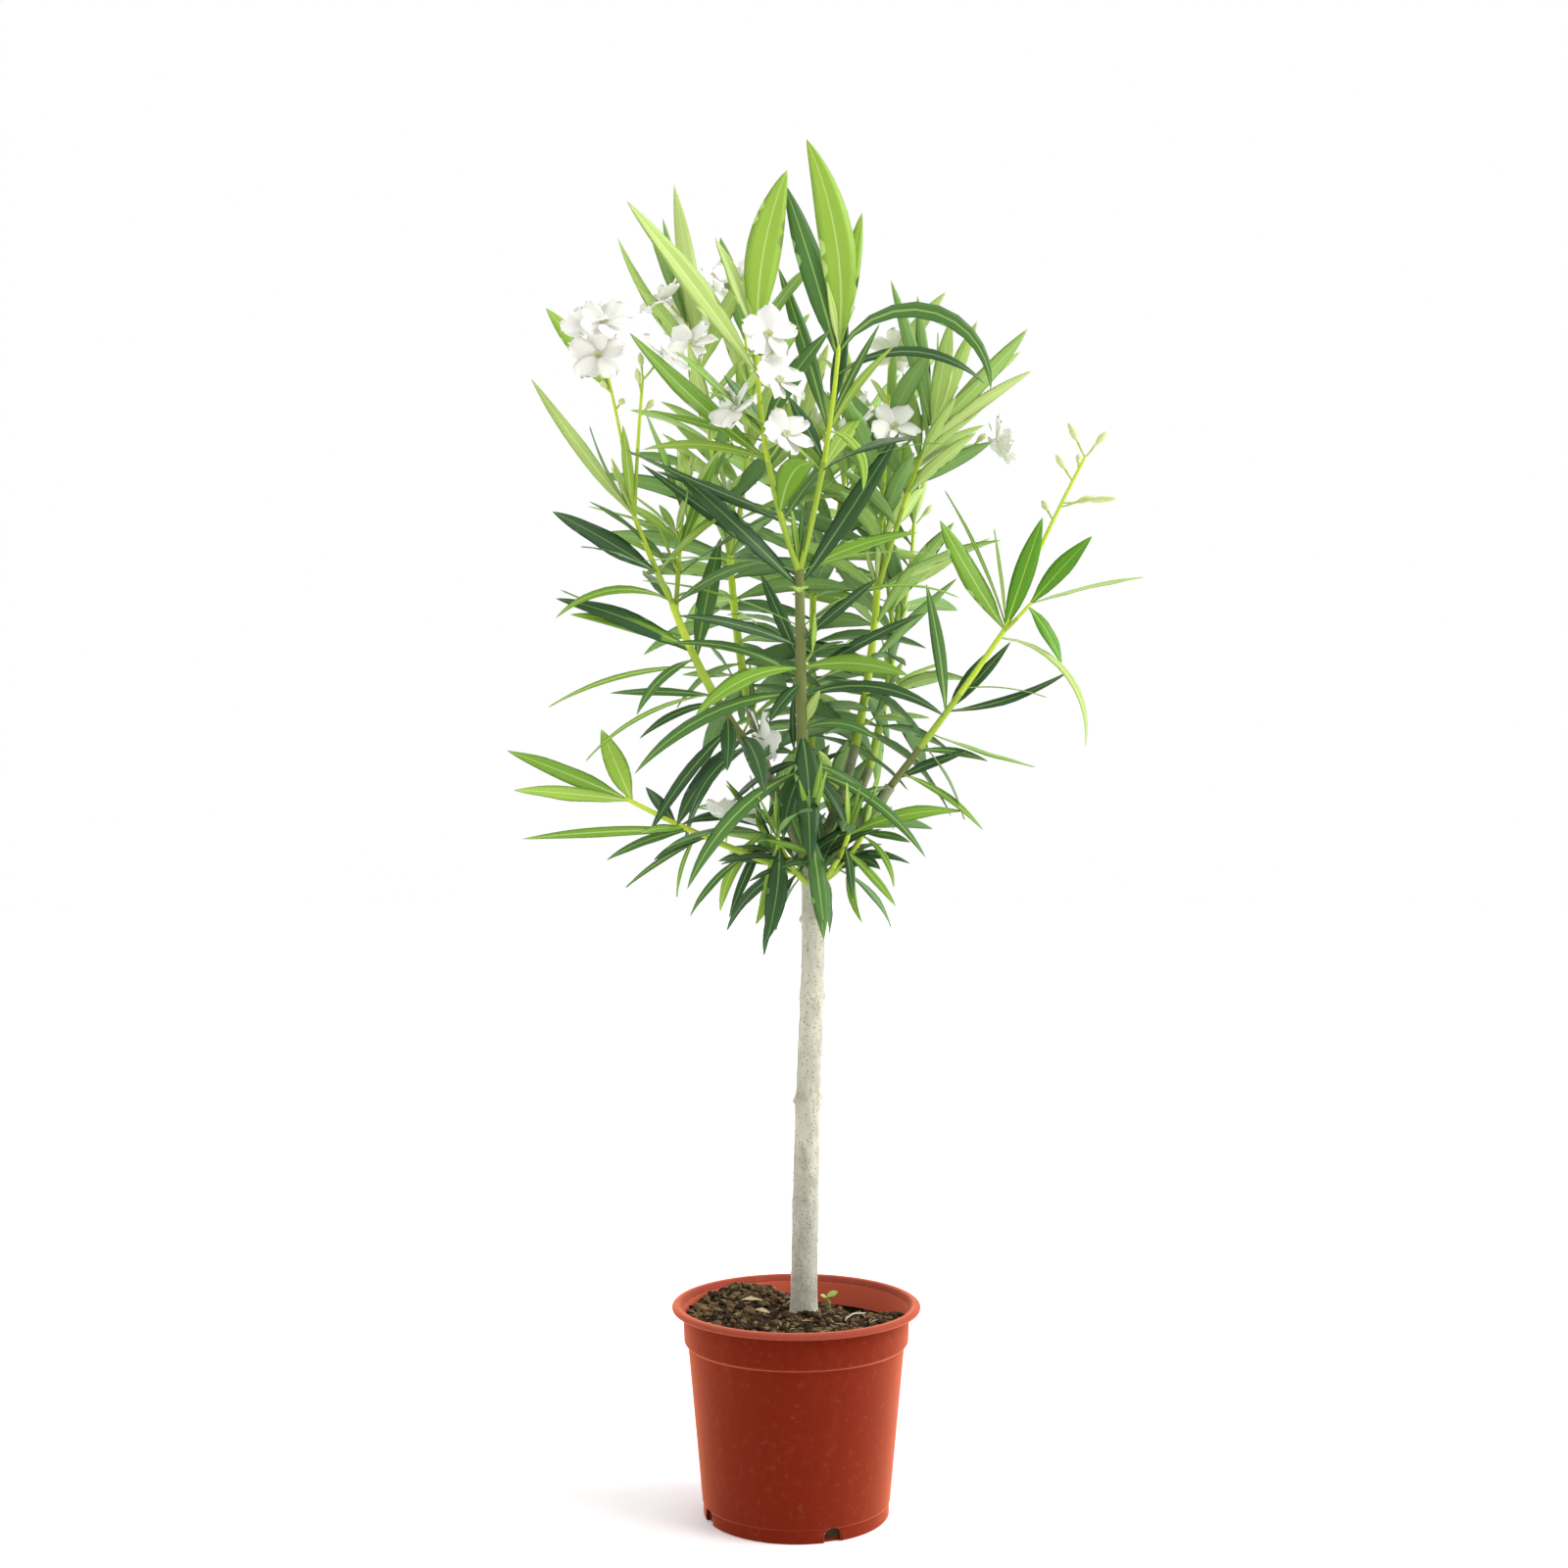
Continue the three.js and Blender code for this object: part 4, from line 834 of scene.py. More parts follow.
def soil_finish(name, dark, pale):
    """Matt, crumbly potting mix."""
    nodes = Nodes(name, Specular_IOR_Level=0.12)
    grain = nodes.noise(scale=180, detail=6, roughness=0.7)
    nodes.drive("Base Color", nodes.ramp(grain, (0.3, dark), (0.72, pale)))
    nodes.drive("Roughness", nodes.ramp(grain, (0.3, 0.75), (0.7, 0.98)))
    nodes.bump(nodes.noise(scale=700, detail=5, roughness=0.7), distance=0.0012, strength=0.9)
    return nodes.material


BARK_STRETCH = (1, 1, 0.5)


def bark_finish(name, pale, dark, fleck):
    """Mottled bark with upright fibres and small dark flecks."""
    nodes = Nodes(name, Specular_IOR_Level=0.3)
    cloud = nodes.noise(scale=75, detail=6, roughness=0.62, stretch=BARK_STRETCH)
    patches = nodes.noise(scale=26, detail=3, roughness=0.5, stretch=BARK_STRETCH)
    fibres = nodes.noise(scale=320, detail=5, roughness=0.65, stretch=(1, 1, 0.14))
    specks = nodes.ramp(nodes.spots(scale=330), (0.13, 1.0), (0.3, 0.0))
    base = nodes.ramp(cloud, (0.34, dark), (0.58, pale))
    base = nodes.mix(nodes.ramp(patches, (0.5, 0.0), (0.68, 0.5)), base, dark)
    base = nodes.mix(nodes.ramp(fibres, (0.45, 0.0), (0.72, 0.35)), base, dark)
    base = nodes.mix(nodes.ramp(specks, (0.0, 0.0), (1.0, 0.7)), base, fleck)
    nodes.drive("Base Color", base)
    nodes.drive("Roughness", nodes.ramp(fibres, (0.3, 0.62), (0.7, 0.85)))
    nodes.bump(fibres, distance=0.0004, strength=0.6)
    return nodes.material


# Leaf greens from the oldest to the youngest, and a saturated green of painted light through backlit leaves:
# upper side, under side, midrib
GREENS = (
    ("deep", (0.033, 0.085, 0.026), (0.12, 0.23, 0.075), (0.15, 0.25, 0.08)),
    ("dark", (0.07, 0.165, 0.036), (0.18, 0.33, 0.09), (0.25, 0.37, 0.1)),
    ("mid", (0.16, 0.31, 0.03), (0.26, 0.42, 0.1), (0.34, 0.48, 0.12)),
    ("light", (0.26, 0.42, 0.05), (0.34, 0.49, 0.12), (0.43, 0.55, 0.16)),
    ("young", (0.37, 0.5, 0.13), (0.44, 0.56, 0.18), (0.5, 0.6, 0.22)),
    ("painted_backlight", (0.095, 0.27, 0.012), (0.2, 0.42, 0.05), (0.27, 0.46, 0.06)),
)


LEAF_GRAIN = 160
LEAF_RELIEF = 0.00002


def leaf_finishes(name, upper, lower, rib):
    """The materials of a leaf's upper side, under side and midrib."""
    sides = (
        ("upper", upper, (0.36, 0.5), 0.22),
        ("under", lower, (0.55, 0.7), 0.2),
        ("midrib", rib, (0.4, 0.55), 0.2),
    )
    return [
        plain_finish(f"leaf_{name}_{side}", colour, roughness, LEAF_GRAIN, LEAF_RELIEF,
                     Specular_IOR_Level=shine)
        for side, colour, roughness, shine in sides
    ]


# Meshes


def place_object(name, data):
    thing = bpy.data.objects.new(name, data)
    bpy.context.collection.objects.link(thing)
    return thing


def new_mesh(name, points, faces):
    """A mesh from points in millimetres."""
    mesh = bpy.data.meshes.new(name)
    mesh.from_pydata((np.asarray(points, float) * MM).tolist(), [], faces)
    return mesh


class Sheaf:
    """Points and faces gathered for one piece, in millimetres, with a material's number for each face."""

    def __init__(self):
        self.points = []
        self.faces = []
        self.slots = []
        self.count = 0

    def add(self, points, faces, slots):
        points = np.asarray(points, float).reshape(-1, 3)
        self.points.append(points)
        self.faces += [tuple(i + self.count for i in face) for face in faces]
        self.slots += [slots] * len(faces) if isinstance(slots, int) else list(slots)
        self.count += len(points)

    def piece(self, name, materials, slot, stands_for):
        mesh = new_mesh(name, np.concatenate(self.points), self.faces)
        mesh.polygons.foreach_set("material_index", self.slots)
        mesh.polygons.foreach_set("use_smooth", [True] * len(self.faces))
        for material in materials:
            mesh.materials.append(material)
        mesh.update()
        thing = place_object(name, mesh)
        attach(thing, "root")
        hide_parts(*stands_for)
        return thing


def ring_faces(rings, sides, closed_start=True, closed_end=True):
    """Quads between rings of equal sides, and the caps at both ends."""
    faces = []
    for i in range(rings - 1):
        low, high = i * sides, (i + 1) * sides
        for j in range(sides):
            k = (j + 1) % sides
            faces.append((low + j, low + k, high + k, high + j))
    if closed_start:
        faces.append(tuple(reversed(range(sides))))
    if closed_end:
        faces.append(tuple(range((rings - 1) * sides, rings * sides)))
    return faces


def tube(centres, radii, side, other, sides, relief=None):
    """Points of rings round a line. side and other are each ring's two cross directions."""
    turns = 2 * np.pi * np.arange(sides) / sides
    reach = np.asarray(radii, float)[:, None] * np.ones(sides)
    if relief is not None:
        reach = reach + relief
    points = (
        np.asarray(centres)[:, None, :]
        + (reach * np.cos(turns))[:, :, None] * np.asarray(side)[:, None, :]
        + (reach * np.sin(turns))[:, :, None] * np.asarray(other)[:, None, :]
    )
    return points.reshape(-1, 3)


def add_round(sheaf, centres, radii, side, other, sides, slot):
    """A closed round body with the same two cross directions at each of its rings."""
    count = len(centres)
    sheaf.add(tube(centres, radii, [side] * count, [other] * count, sides), ring_faces(count, sides), slot)


def limb_mesh(path, sides, stations, radii):
    """The points of a round limb's rings, at stations from 0 at its foot to 1 at its tip."""
    side = np.array([path.side(s) for s in stations])
    along = np.array([path.direction(s) for s in stations])
    other = np.cross(side, along)
    centres = np.array([path.point(s) for s in stations])
    return tube(centres, radii, side, -other, sides)


def limb_skin(path, sides, stations, radii):
    """A limb's points, and the directions outward from its middle line at each of them."""
    plain = limb_mesh(path, sides, stations, radii)
    centres = np.repeat([path.point(s) for s in stations], sides, axis=0)
    return plain, (plain - centres) / np.linalg.norm(plain - centres, axis=1)[:, None]


# Leaves


def leaf_outline(t):
    """Half width along a leaf, as a share of its widest: a short stalk, a long blade, a sharp tip."""
    blade = np.clip((t - PETIOLE_SHARE) / (1 - PETIOLE_SHARE), 0, 1)
    return np.clip(np.sin(np.pi * blade**BLADE_SKEW), 0, 1) ** BLADE_FULLNESS


def make_leaf(root, out, axis, length, width, bend, roll, facing=WHORL_FACING):
    """A leaf that falls outward from its stem's axis, rolled so that it faces the open air."""
    outward = unit(out - axis * np.dot(out, axis))
    pull = outward * FALL_OUTWARD - UP
    fall = unit(pull - out * np.dot(pull, out))
    across = np.cross(fall, out)
    up = np.cross(across, out)
    open_air = np.array((0.0, -1.0 if root[1] < FACING_PLANE_Y else 1.0, FACING_UP))
    turned = math.degrees(math.atan2(-np.dot(open_air, across), np.dot(open_air, up)))
    aside = float(np.clip(turned * facing["share"], -facing["limit"], facing["limit"]))
    return {"root": root, "out": out, "fall": fall, "length": length, "width": width, "bend": bend,
            "roll": roll + aside}


def whorl_leaf(shoot, whorl, order):
    """A leaf of a shoot's whorls. A whorl number that isn't whole lies between two whorls."""
    path = shoot["path"]
    stream = round(whorl * 2) * BETWEEN_STRIDE + BETWEEN_OFFSET if whorl % 1 else int(whorl)
    draw = drawer(seed_of(shoot["name"], stream, order))
    rise = whorl / (shoot["whorls"] - 1) if shoot["whorls"] > 1 else 0
    along = lerp(shoot["first"], path.length * LAST_WHORL, rise) / path.length
    swing = whorl * WHORL_TURN + order * LEAF_TURN + seed_of(shoot["name"], 0, 0) % LEAF_TURN
    azimuth = math.radians(swing + SPREAD["turn"] * (draw() - 0.5))
    open_angle = math.radians(lerp(*shoot["open"], rise) + SPREAD["open"] * (draw() - 0.5))
    length = lerp(*shoot["leaf"], rise) * (1 + SPREAD["length"] * (draw() - 0.5))
    width = length * LEAF_SLIMNESS * (1 + SPREAD["width"] * (draw() - 0.5))
    bend = lerp(*shoot["bend"], rise) + SPREAD["bend"] * (draw() - 0.5)
    roll = SPREAD["roll"] * (draw() - 0.5)
    axis = path.direction(along)
    out = opened(axis, path.side(along), open_angle, azimuth)
    return make_leaf(path.point(along), out, axis, length, width, bend, roll), rise


def single_leaf(shoot, along, bearing, lean, length, width, bend, roll):
    """A leaf from the given list, at a distance along its shoot."""
    path = shoot["path"]
    s = along / path.length
    return make_leaf(
        path.point(s), heading(bearing, lean), path.direction(s), length, width, bend, roll, SINGLE_FACING
    )


STATIONS = np.sin(np.linspace(0, 1, LEAF_STATIONS) * np.pi / 2 * STATION_EASE)
STATIONS = STATIONS / math.sin(np.pi / 2 * STATION_EASE)


def leaf_faces():
    """Quads of the upper and under side between stations of ten points, and the tip's triangles."""
    upper = range(LEAF_COLUMNS // 2)
    ribs = (LEAF_COLUMNS // 4, LEAF_COLUMNS // 4 + LEAF_COLUMNS // 2)
    faces = []
    slots = []
    last = LEAF_STATIONS - 2
    for i in range(last + 1):
        for a in range(LEAF_COLUMNS):
            low = i * LEAF_COLUMNS + a
            beside = i * LEAF_COLUMNS + (a + 1) % LEAF_COLUMNS
            if i < last:
                faces.append((beside, low, low + LEAF_COLUMNS, beside + LEAF_COLUMNS))
            else:
                faces.append((beside, low, (last + 1) * LEAF_COLUMNS))
            slots.append(2 if a in ribs else int(a not in upper))
    return faces, slots


LEAF_FACES, LEAF_SLOTS = leaf_faces()


def leaf_points(leaf, draw):
    """A leaf's points, station by station: round its upper side, then back along its under side."""
    t = STATIONS
    length = leaf["length"]
    whole = math.radians(leaf["bend"]) or STRAIGHT
    angle = whole * t
    out = leaf["out"]
    fall = leaf["fall"]
    along = np.outer(np.cos(angle), out) + np.outer(np.sin(angle), fall)
    across = np.cross(fall, out) * np.ones((len(t), 1))
    up = np.cross(across, along)
    twist = LEAF_TWIST * (draw() - 0.5)
    roll = np.radians(leaf["roll"] + twist * (t - TWIST_FROM))[:, None]
    across, up = across * np.cos(roll) + up * np.sin(roll), up * np.cos(roll) - across * np.sin(roll)
    middle = (
        leaf["root"]
        + np.outer(length * np.sin(angle) / whole, out)
        + np.outer(length * (1 - np.cos(angle)) / whole, fall)
    )
    edge = np.maximum(leaf["width"] / 2 * leaf_outline(t), LEAST_HALF_WIDTH)
    rib = np.minimum(lerp(*RIB_HALF_WIDTH, t) * (length / RIB_LEAF_LENGTH) ** 0.5, edge * WIDEST_RIB)
    fold = drawn(draw, *FOLD)
    wave = WAVE * np.sin(2 * np.pi * (t * drawn(draw, *WAVE_COUNT) + draw()))
    other_wave = WAVE * np.sin(2 * np.pi * (t * drawn(draw, *WAVE_COUNT) + draw()))

    def column(share, lift, ripple=None):
        """A line of points at a share of the half width from the midrib, raised or sunk."""
        reach = edge * share
        if ripple is None:
            height = np.abs(reach) * fold + lift
        else:
            height = np.abs(reach) * (fold - FOLD_EASE * abs(share)) + edge * ripple * abs(share) ** 2 + lift
        return middle + reach[:, None] * across + height[:, None] * up

    ribs = rib / edge
    under_ribs = ribs * RIB_UNDER_WIDTH
    columns = (
        column(-1, 0, wave),
        column(-INNER_EDGE, SKIN, wave),
        column(-ribs, RIB_RISE),
        column(ribs, RIB_RISE),
        column(INNER_EDGE, SKIN, other_wave),
        column(1, 0, other_wave),
        column(INNER_EDGE, -SKIN, other_wave),
        column(under_ribs, -RIB_DEPTH),
        column(-under_ribs, -RIB_DEPTH),
        column(-INNER_EDGE, -SKIN, wave),
    )
    flat = np.stack(columns, axis=1).reshape(-1, 3)
    return np.concatenate((flat[: (len(t) - 1) * LEAF_COLUMNS], middle[-1:]))


class Foliage:
    """Leaves gathered by tone."""

    def __init__(self):
        self.sheaves = [Sheaf() for _ in GREENS]

    def add(self, leaf, tone, draw, spread=TONE_SPREAD):
        shade = min(max(tone + spread * (draw() - 0.5), 0), BRIGHTEST)
        # Leaves given the backlit tone take the last green, which paints light shining through them
        place = len(GREENS) - 1 if tone == PAINTED_BACKLIGHT_TONE else int(shade * (len(GREENS) - 1))
        self.sheaves[place].add(leaf_points(leaf, draw), LEAF_FACES, LEAF_SLOTS)

    def pieces(self, masses):
        for sheaf, (name, *colours) in zip(self.sheaves, GREENS):
            if sheaf.count:
                sheaf.piece(f"leaves_{name}", leaf_finishes(name, *colours), "foliage", masses)


# Flowers


PETAL_STATIONS = 9
PETAL_COLUMNS = 7
PETAL_REST = np.array((0.0, 0.05, 0.16, 0.3, 0.46, 0.62, 0.78, 0.91, 1.0))


def petal_faces():
    """Quads of a petal's upper and under side, and of the rim between them."""
    faces = []
    size = PETAL_STATIONS * PETAL_COLUMNS
    for i in range(PETAL_STATIONS - 1):
        for j in range(PETAL_COLUMNS - 1):
            a = i * PETAL_COLUMNS + j
            b, c, d = a + 1, a + PETAL_COLUMNS + 1, a + PETAL_COLUMNS
            faces.append((a, b, c, d))
            faces.append((d + size, c + size, b + size, a + size))
    rim = list(range(PETAL_COLUMNS))
    rim += [i * PETAL_COLUMNS + PETAL_COLUMNS - 1 for i in range(1, PETAL_STATIONS)]
    rim += [(PETAL_STATIONS - 1) * PETAL_COLUMNS + j for j in range(PETAL_COLUMNS - 2, -1, -1)]
    rim += [i * PETAL_COLUMNS for i in range(PETAL_STATIONS - 2, 0, -1)]
    for a, b in zip(rim, rim[1:] + rim[:1]):
        faces.append((b, a, a + size, b + size))
    return faces


PETAL_FACES = petal_faces()


def petal_sheet(throat, axis, ray, cross, cup, draw):
    """The points of a petal's upper side, from the throat out."""
    reach = FLOWER_RADIUS * drawn(draw, *PETAL_REACH)
    wide = PETAL_WIDTH * drawn(draw, *PETAL_WIDTH_SHARE)
    tilt = drawn(draw, *PETAL_TILT)
    ruffle = drawn(draw, *RUFFLE)
    phase = RUFFLE_PHASE * draw()
    t = PETAL_REST
    past = t - PETAL_WIDEST
    grow = np.where(t < PETAL_WIDEST, past / PETAL_WIDEST, past / PETAL_TIP_SHARE)
    half = wide / 2 * np.sqrt(np.clip(1 - np.abs(grow) ** PETAL_ROUNDNESS, 0, 1))
    half = np.maximum(half, np.where(t < 0.5, *LEAST_PETAL_HALF_WIDTHS))
    t = t[:, None]
    half = half[:, None]
    u = np.linspace(-1, 1, PETAL_COLUMNS)[None, :]
    radial = PETAL_FOOT + (reach - PETAL_FOOT) * t - CORNER_DRAW_IN * (u**2) * t
    radial = radial + MARGIN_WAVE * np.sin(phase + MARGIN_TURNS * u) * t**5
    lateral = half * u + PINWHEEL * t**2
    lift = (
        -THROAT_DEPTH * (1 - t) ** 3
        + cup * reach * t**2 * 0.5
        + tilt * half * u
        - PETAL_HOLLOW * half * (1 - u**2)
        + ruffle * np.sin(phase + RUFFLE_ACROSS * u + RUFFLE_ALONG * t) * t**2
    )
    return (
        throat + radial[:, :, None] * ray + lateral[:, :, None] * cross + lift[:, :, None] * axis
    ).reshape(-1, 3)


def flower(blossom, throats, greens, shoot, spec):
    """An open flower with five petals, its tube, throat, crown, calyx and stalk."""
    back, bearing, lean, stalk = spec
    path = shoot["path"]
    axis = heading(bearing, lean)
    foot = path.point(1 - back / path.length)
    side, front = cross_axes(axis)
    throat = foot + axis * stalk
    draw = drawer(seed_of(shoot["name"], int(back) + FLOWER_STREAM, int(bearing)))
    turn = 2 * math.pi * draw()
    cup = drawn(draw, *CUP)
    for k in range(PETALS):
        ray, cross = spoke(side, front, turn + 2 * math.pi * k / PETALS)
        sheet = petal_sheet(throat, axis, ray, cross, cup, draw)
        blossom.add(np.concatenate((sheet, sheet - axis * PETAL_THICKNESS)), PETAL_FACES, 0)
    # Tube
    rings = len(TUBE_STEPS)
    outside = tube(
        [throat + axis * s for s in TUBE_STEPS], TUBE_RADII, [side] * rings, [front] * rings, FLOWER_SIDES
    )
    blossom.add(outside, ring_faces(rings, FLOWER_SIDES, True, False), 0)
    rings = len(THROAT_STEPS)
    inside = tube(
        [throat + axis * s for s in THROAT_STEPS], THROAT_RADII, [side] * rings, [front] * rings, FLOWER_SIDES
    )
    throats.add(inside, [tuple(reversed(f)) for f in ring_faces(rings, FLOWER_SIDES, False, True)], 0)
    # Crown of the throat
    for k in range(CROWN_TEETH):
        ray, cross = spoke(side, front, turn + math.pi * k / PETALS + CROWN_TURN)
        base = throat + ray * CROWN["radius"] - axis * CROWN["sunk"]
        tip = throat + ray * drawn(draw, *CROWN["flare"]) + axis * drawn(draw, *CROWN["rise"])
        half = cross * CROWN["half_width"]
        throats.add([base - half, base + half, tip, base + ray * CROWN["thick"]], SPIKE_FACES, 1)
    # Calyx and stalk
    calyx = throat - axis * TUBE_LENGTH
    for k in range(PETALS):
        ray, cross = spoke(side, front, 2 * math.pi * k / PETALS)
        tip = calyx + ray * CALYX["flare"] + axis * CALYX["rise"]
        half = cross * CALYX["half_width"]
        greens.add([calyx - half, calyx + half, tip, calyx - axis * CALYX["sunk"] + ray], SPIKE_FACES, 0)
    stalk_mesh(greens, foot, calyx, axis, *FLOWER_STALK_RADII)


def stalk_mesh(greens, foot, end, axis, low, high):
    """A flower's stalk, with its slight droop."""
    side, front = cross_axes(axis)
    steps = np.linspace(0, 1, STALK_RINGS)
    sag = -STALK_SAG * np.linalg.norm(end - foot) * np.sin(np.pi * steps)
    centres = foot + np.outer(steps, end - foot) + np.outer(sag, UP)
    radii = lerp(low, high, steps**2)
    add_round(greens, centres, radii, side, front, STALK_SIDES, 0)


def bud(blossom, greens, shoot, spec):
    """A closed bud with twisted pleats, on its stalk."""
    back, bearing, lean, length = spec
    path = shoot["path"]
    axis = heading(bearing, lean)
    foot = path.point(1 - back / path.length)
    side, front = cross_axes(axis)
    start = foot + axis * length * BUD_STALK_SHARE
    steps = np.linspace(0, 1, BUD_RINGS)
    radii = BUD_RADIUS * np.sin(np.pi * np.clip(steps, *BUD_ENDS) ** BUD_SKEW) ** BUD_FULLNESS
    radii[0] = BUD_FOOT_RADIUS
    centres = start + np.outer(steps * (length * BUD_BODY_SHARE), axis)
    turns = (steps * BUD_TWIST)[:, None]
    sides_at = np.cos(turns) * side + np.sin(turns) * front
    fronts_at = np.cos(turns) * front - np.sin(turns) * side
    round_turns = PETALS * 2 * np.pi * np.arange(BUD_SIDES) / BUD_SIDES
    pleats = PLEAT_DEPTH * np.cos(round_turns)[None, :] * np.sin(np.pi * steps)[:, None]
    body = tube(centres, radii, sides_at, fronts_at, BUD_SIDES, pleats)
    blossom.add(body, ring_faces(BUD_RINGS, BUD_SIDES), 1)
    stalk_mesh(greens, foot, start, axis, *BUD_STALK_RADII)


# Growth

trunk = Trunk()
paths = {"trunk": trunk}
bough_names = [row[0] for row in BOUGH_ROWS]
for row in BOUGH_ROWS:
    spec = dict(zip(BOUGH_FIELDS, row))
    paths[spec["name"]] = Limb(foot=trunk.point(spec["at"]), **spec)

shoot_specs = [dict(zip(SHOOT_FIELDS, row)) for row in SHOOT_ROWS]
for number, (bearing, at, length, whorls) in enumerate(SKIRT_SHOOTS, 1):
    shoot_specs.append({"name": f"skirt_{number}", "on": "trunk", "at": at, "bearing": (bearing, bearing),
                        "lean": SKIRT_LEAN, "length": length, "radius": SKIRT_RADIUS, "whorls": whorls,
                        **SKIRT_LEAF})
shoots = []
for spec in shoot_specs:
    name = spec["name"]
    parent = paths[spec["on"]]
    gap = GAP if spec["on"] in bough_names else 0
    paths[name] = Limb(foot=parent.point(spec["at"]) + parent.direction(spec["at"]) * gap, **spec)
    shoots.append({"whorls": 0, **spec, "path": paths[name], "tone": TONES.get(name, SKIRT_TONE)})

foliage = Foliage()
stems = Sheaf()
blossom = Sheaf()
throats = Sheaf()
greens = Sheaf()


def stem_slot(tone):
    return min(int(tone * STEM_TONES), STEM_TONES - 1)


def grow_stem(shoot):
    """A stem with its whorls' swellings, from the tone of its wood to that of its tip."""
    path = shoot["path"]
    name = shoot["name"]
    rings = max(LEAST_STEM_RINGS, int(path.length / STEM_RING_SPACING))
    stations = np.linspace(0, 1, rings + 1)
    places = [
        lerp(shoot["first"], path.length * LAST_WHORL, w / max(shoot["whorls"] - 1, 1)) / path.length
        for w in range(shoot["whorls"])
    ]
    swell = np.zeros(rings + 1)
    for place in places:
        swell = swell + np.exp(-(((stations - place) * path.length / WHORL_SWELL_LENGTH) ** 2))
    radii = np.array([path.radius(s) for s in stations]) * SLIMMER.get(name, 1) + WHORL_SWELL * swell
    radii[-1] *= STEM_TIP_SHARE
    tones = []
    for i in range(rings):
        tones += [stem_slot(lerp(*STEM_TONES_APART.get(name, STEM_TONE), (i + 0.5) / rings))] * STEM_SIDES
    tones += [tones[0], tones[-1]]
    stems.add(limb_mesh(path, STEM_SIDES, stations, radii), ring_faces(rings + 1, STEM_SIDES), tones)


def grow_twig(leaf, tone, draw):
    """A short twig from a leaf's axil, with three small leaves."""
    axis = unit(leaf["out"] + TWIG_RISE * UP)
    length = drawn(draw, *TWIG_LENGTH)
    side, front = cross_axes(axis)
    steps = np.linspace(0, 1, TWIG_RINGS)
    centres = leaf["root"] + np.outer(steps * length, axis)
    slot = min(int(tone * STEM_TONES) + 1, STEM_TONES - 1)
    add_round(stems, centres, lerp(*TWIG_RADII, steps), side, -front, TWIG_SIDES, slot)
    for k in range(TWIG_LEAVES):
        azimuth = 2 * math.pi * (k / TWIG_LEAVES + draw() * TWIG_LEAF_TURN)
        out = opened(axis, side, math.radians(drawn(draw, *TWIG_LEAF_OPEN)), azimuth)
        size = drawn(draw, *TWIG_LEAF_LENGTH)
        bend = drawn(draw, *TWIG_LEAF_BEND)
        roll = TWIG_LEAF_ROLL * (draw() - 0.5)
        small = make_leaf(centres[-1] - axis, out, axis, size, size * TWIG_LEAF_SLIMNESS, bend, roll)
        foliage.add(small, tone + TWIG_LEAF_LIGHTER, draw)


def grow_tuft(shoot):
    """The youngest leaves, upright at a shoot's tip."""
    path = shoot["path"]
    draw = drawer(seed_of(shoot["name"], *TUFT_STREAM))
    axis = path.direction(1)
    side = path.side(1)
    for k in range(TUFT_LEAVES):
        azimuth = 2 * math.pi * (k / TUFT_LEAVES + TUFT_TURN * draw())
        out = opened(axis, side, math.radians(drawn(draw, *TUFT_OPEN)), azimuth)
        size = drawn(draw, *TUFT_LENGTH)
        bend = TUFT_BEND * draw()
        roll = TUFT_ROLL * (draw() - 0.5)
        leaf = make_leaf(path.point(1) - axis * TUFT_DEPTH, out, axis, size, size * TUFT_SLIMNESS, bend, roll)
        foliage.add(leaf, shoot["tone"][1] + TUFT_LIGHTER, draw)


def grow_whorls(shoot, left_out):
    """The leaves of a shoot's whorls, with a twig in some of their axils."""
    for whorl in range(shoot["whorls"]):
        for order in range(LEAVES_IN_WHORL):
            if (whorl, order) in left_out:
                continue
            leaf, rise = whorl_leaf(shoot, whorl, order)
            tone = lerp(*shoot["tone"], rise)
            draw = drawer(seed_of(shoot["name"], whorl + WHORL_STREAM, order))
            foliage.add(leaf, tone, draw)
            if draw() < TWIG_CHANCE and whorl < shoot["whorls"] - 1:
                grow_twig(leaf, tone, draw)


def grow_between(shoot, left_out):
    """Smaller leaves halfway between a shoot's whorls."""
    for whorl in range(shoot["whorls"] - 1):
        for order in range(LEAVES_IN_WHORL):
            if (whorl + 0.5, order) in left_out:
                continue
            leaf, rise = whorl_leaf(shoot, whorl + 0.5, order)
            leaf["length"] *= FINE_SHARE
            leaf["width"] *= FINE_SHARE
            draw = drawer(seed_of(shoot["name"], whorl + BETWEEN_STREAM, order))
            foliage.add(leaf, lerp(*shoot["tone"], rise), draw)


for shoot in shoots:
    name = shoot["name"]
    grow_stem(shoot)
    for *spec, tone in SINGLE_LEAVES.get(name, ()):
        draw = drawer(seed_of(name, spec[0], spec[3]))
        foliage.add(single_leaf(shoot, *spec), tone, draw, spread=SINGLE_TONE_SPREAD)
    left_out = LEFT_OUT.get(name, ())
    grow_whorls(shoot, left_out)
    if shoot["path"].point(1)[1] > FINE_FROM_Y:
        grow_between(shoot, left_out)
    if shoot["whorls"] and name not in BLOOMS:
        grow_tuft(shoot)
    for spec in BLOOMS.get(name, ()):
        flower(blossom, throats, greens, shoot, spec)
    for spec in BUDS.get(name, ()):
        bud(blossom, greens, shoot, spec)

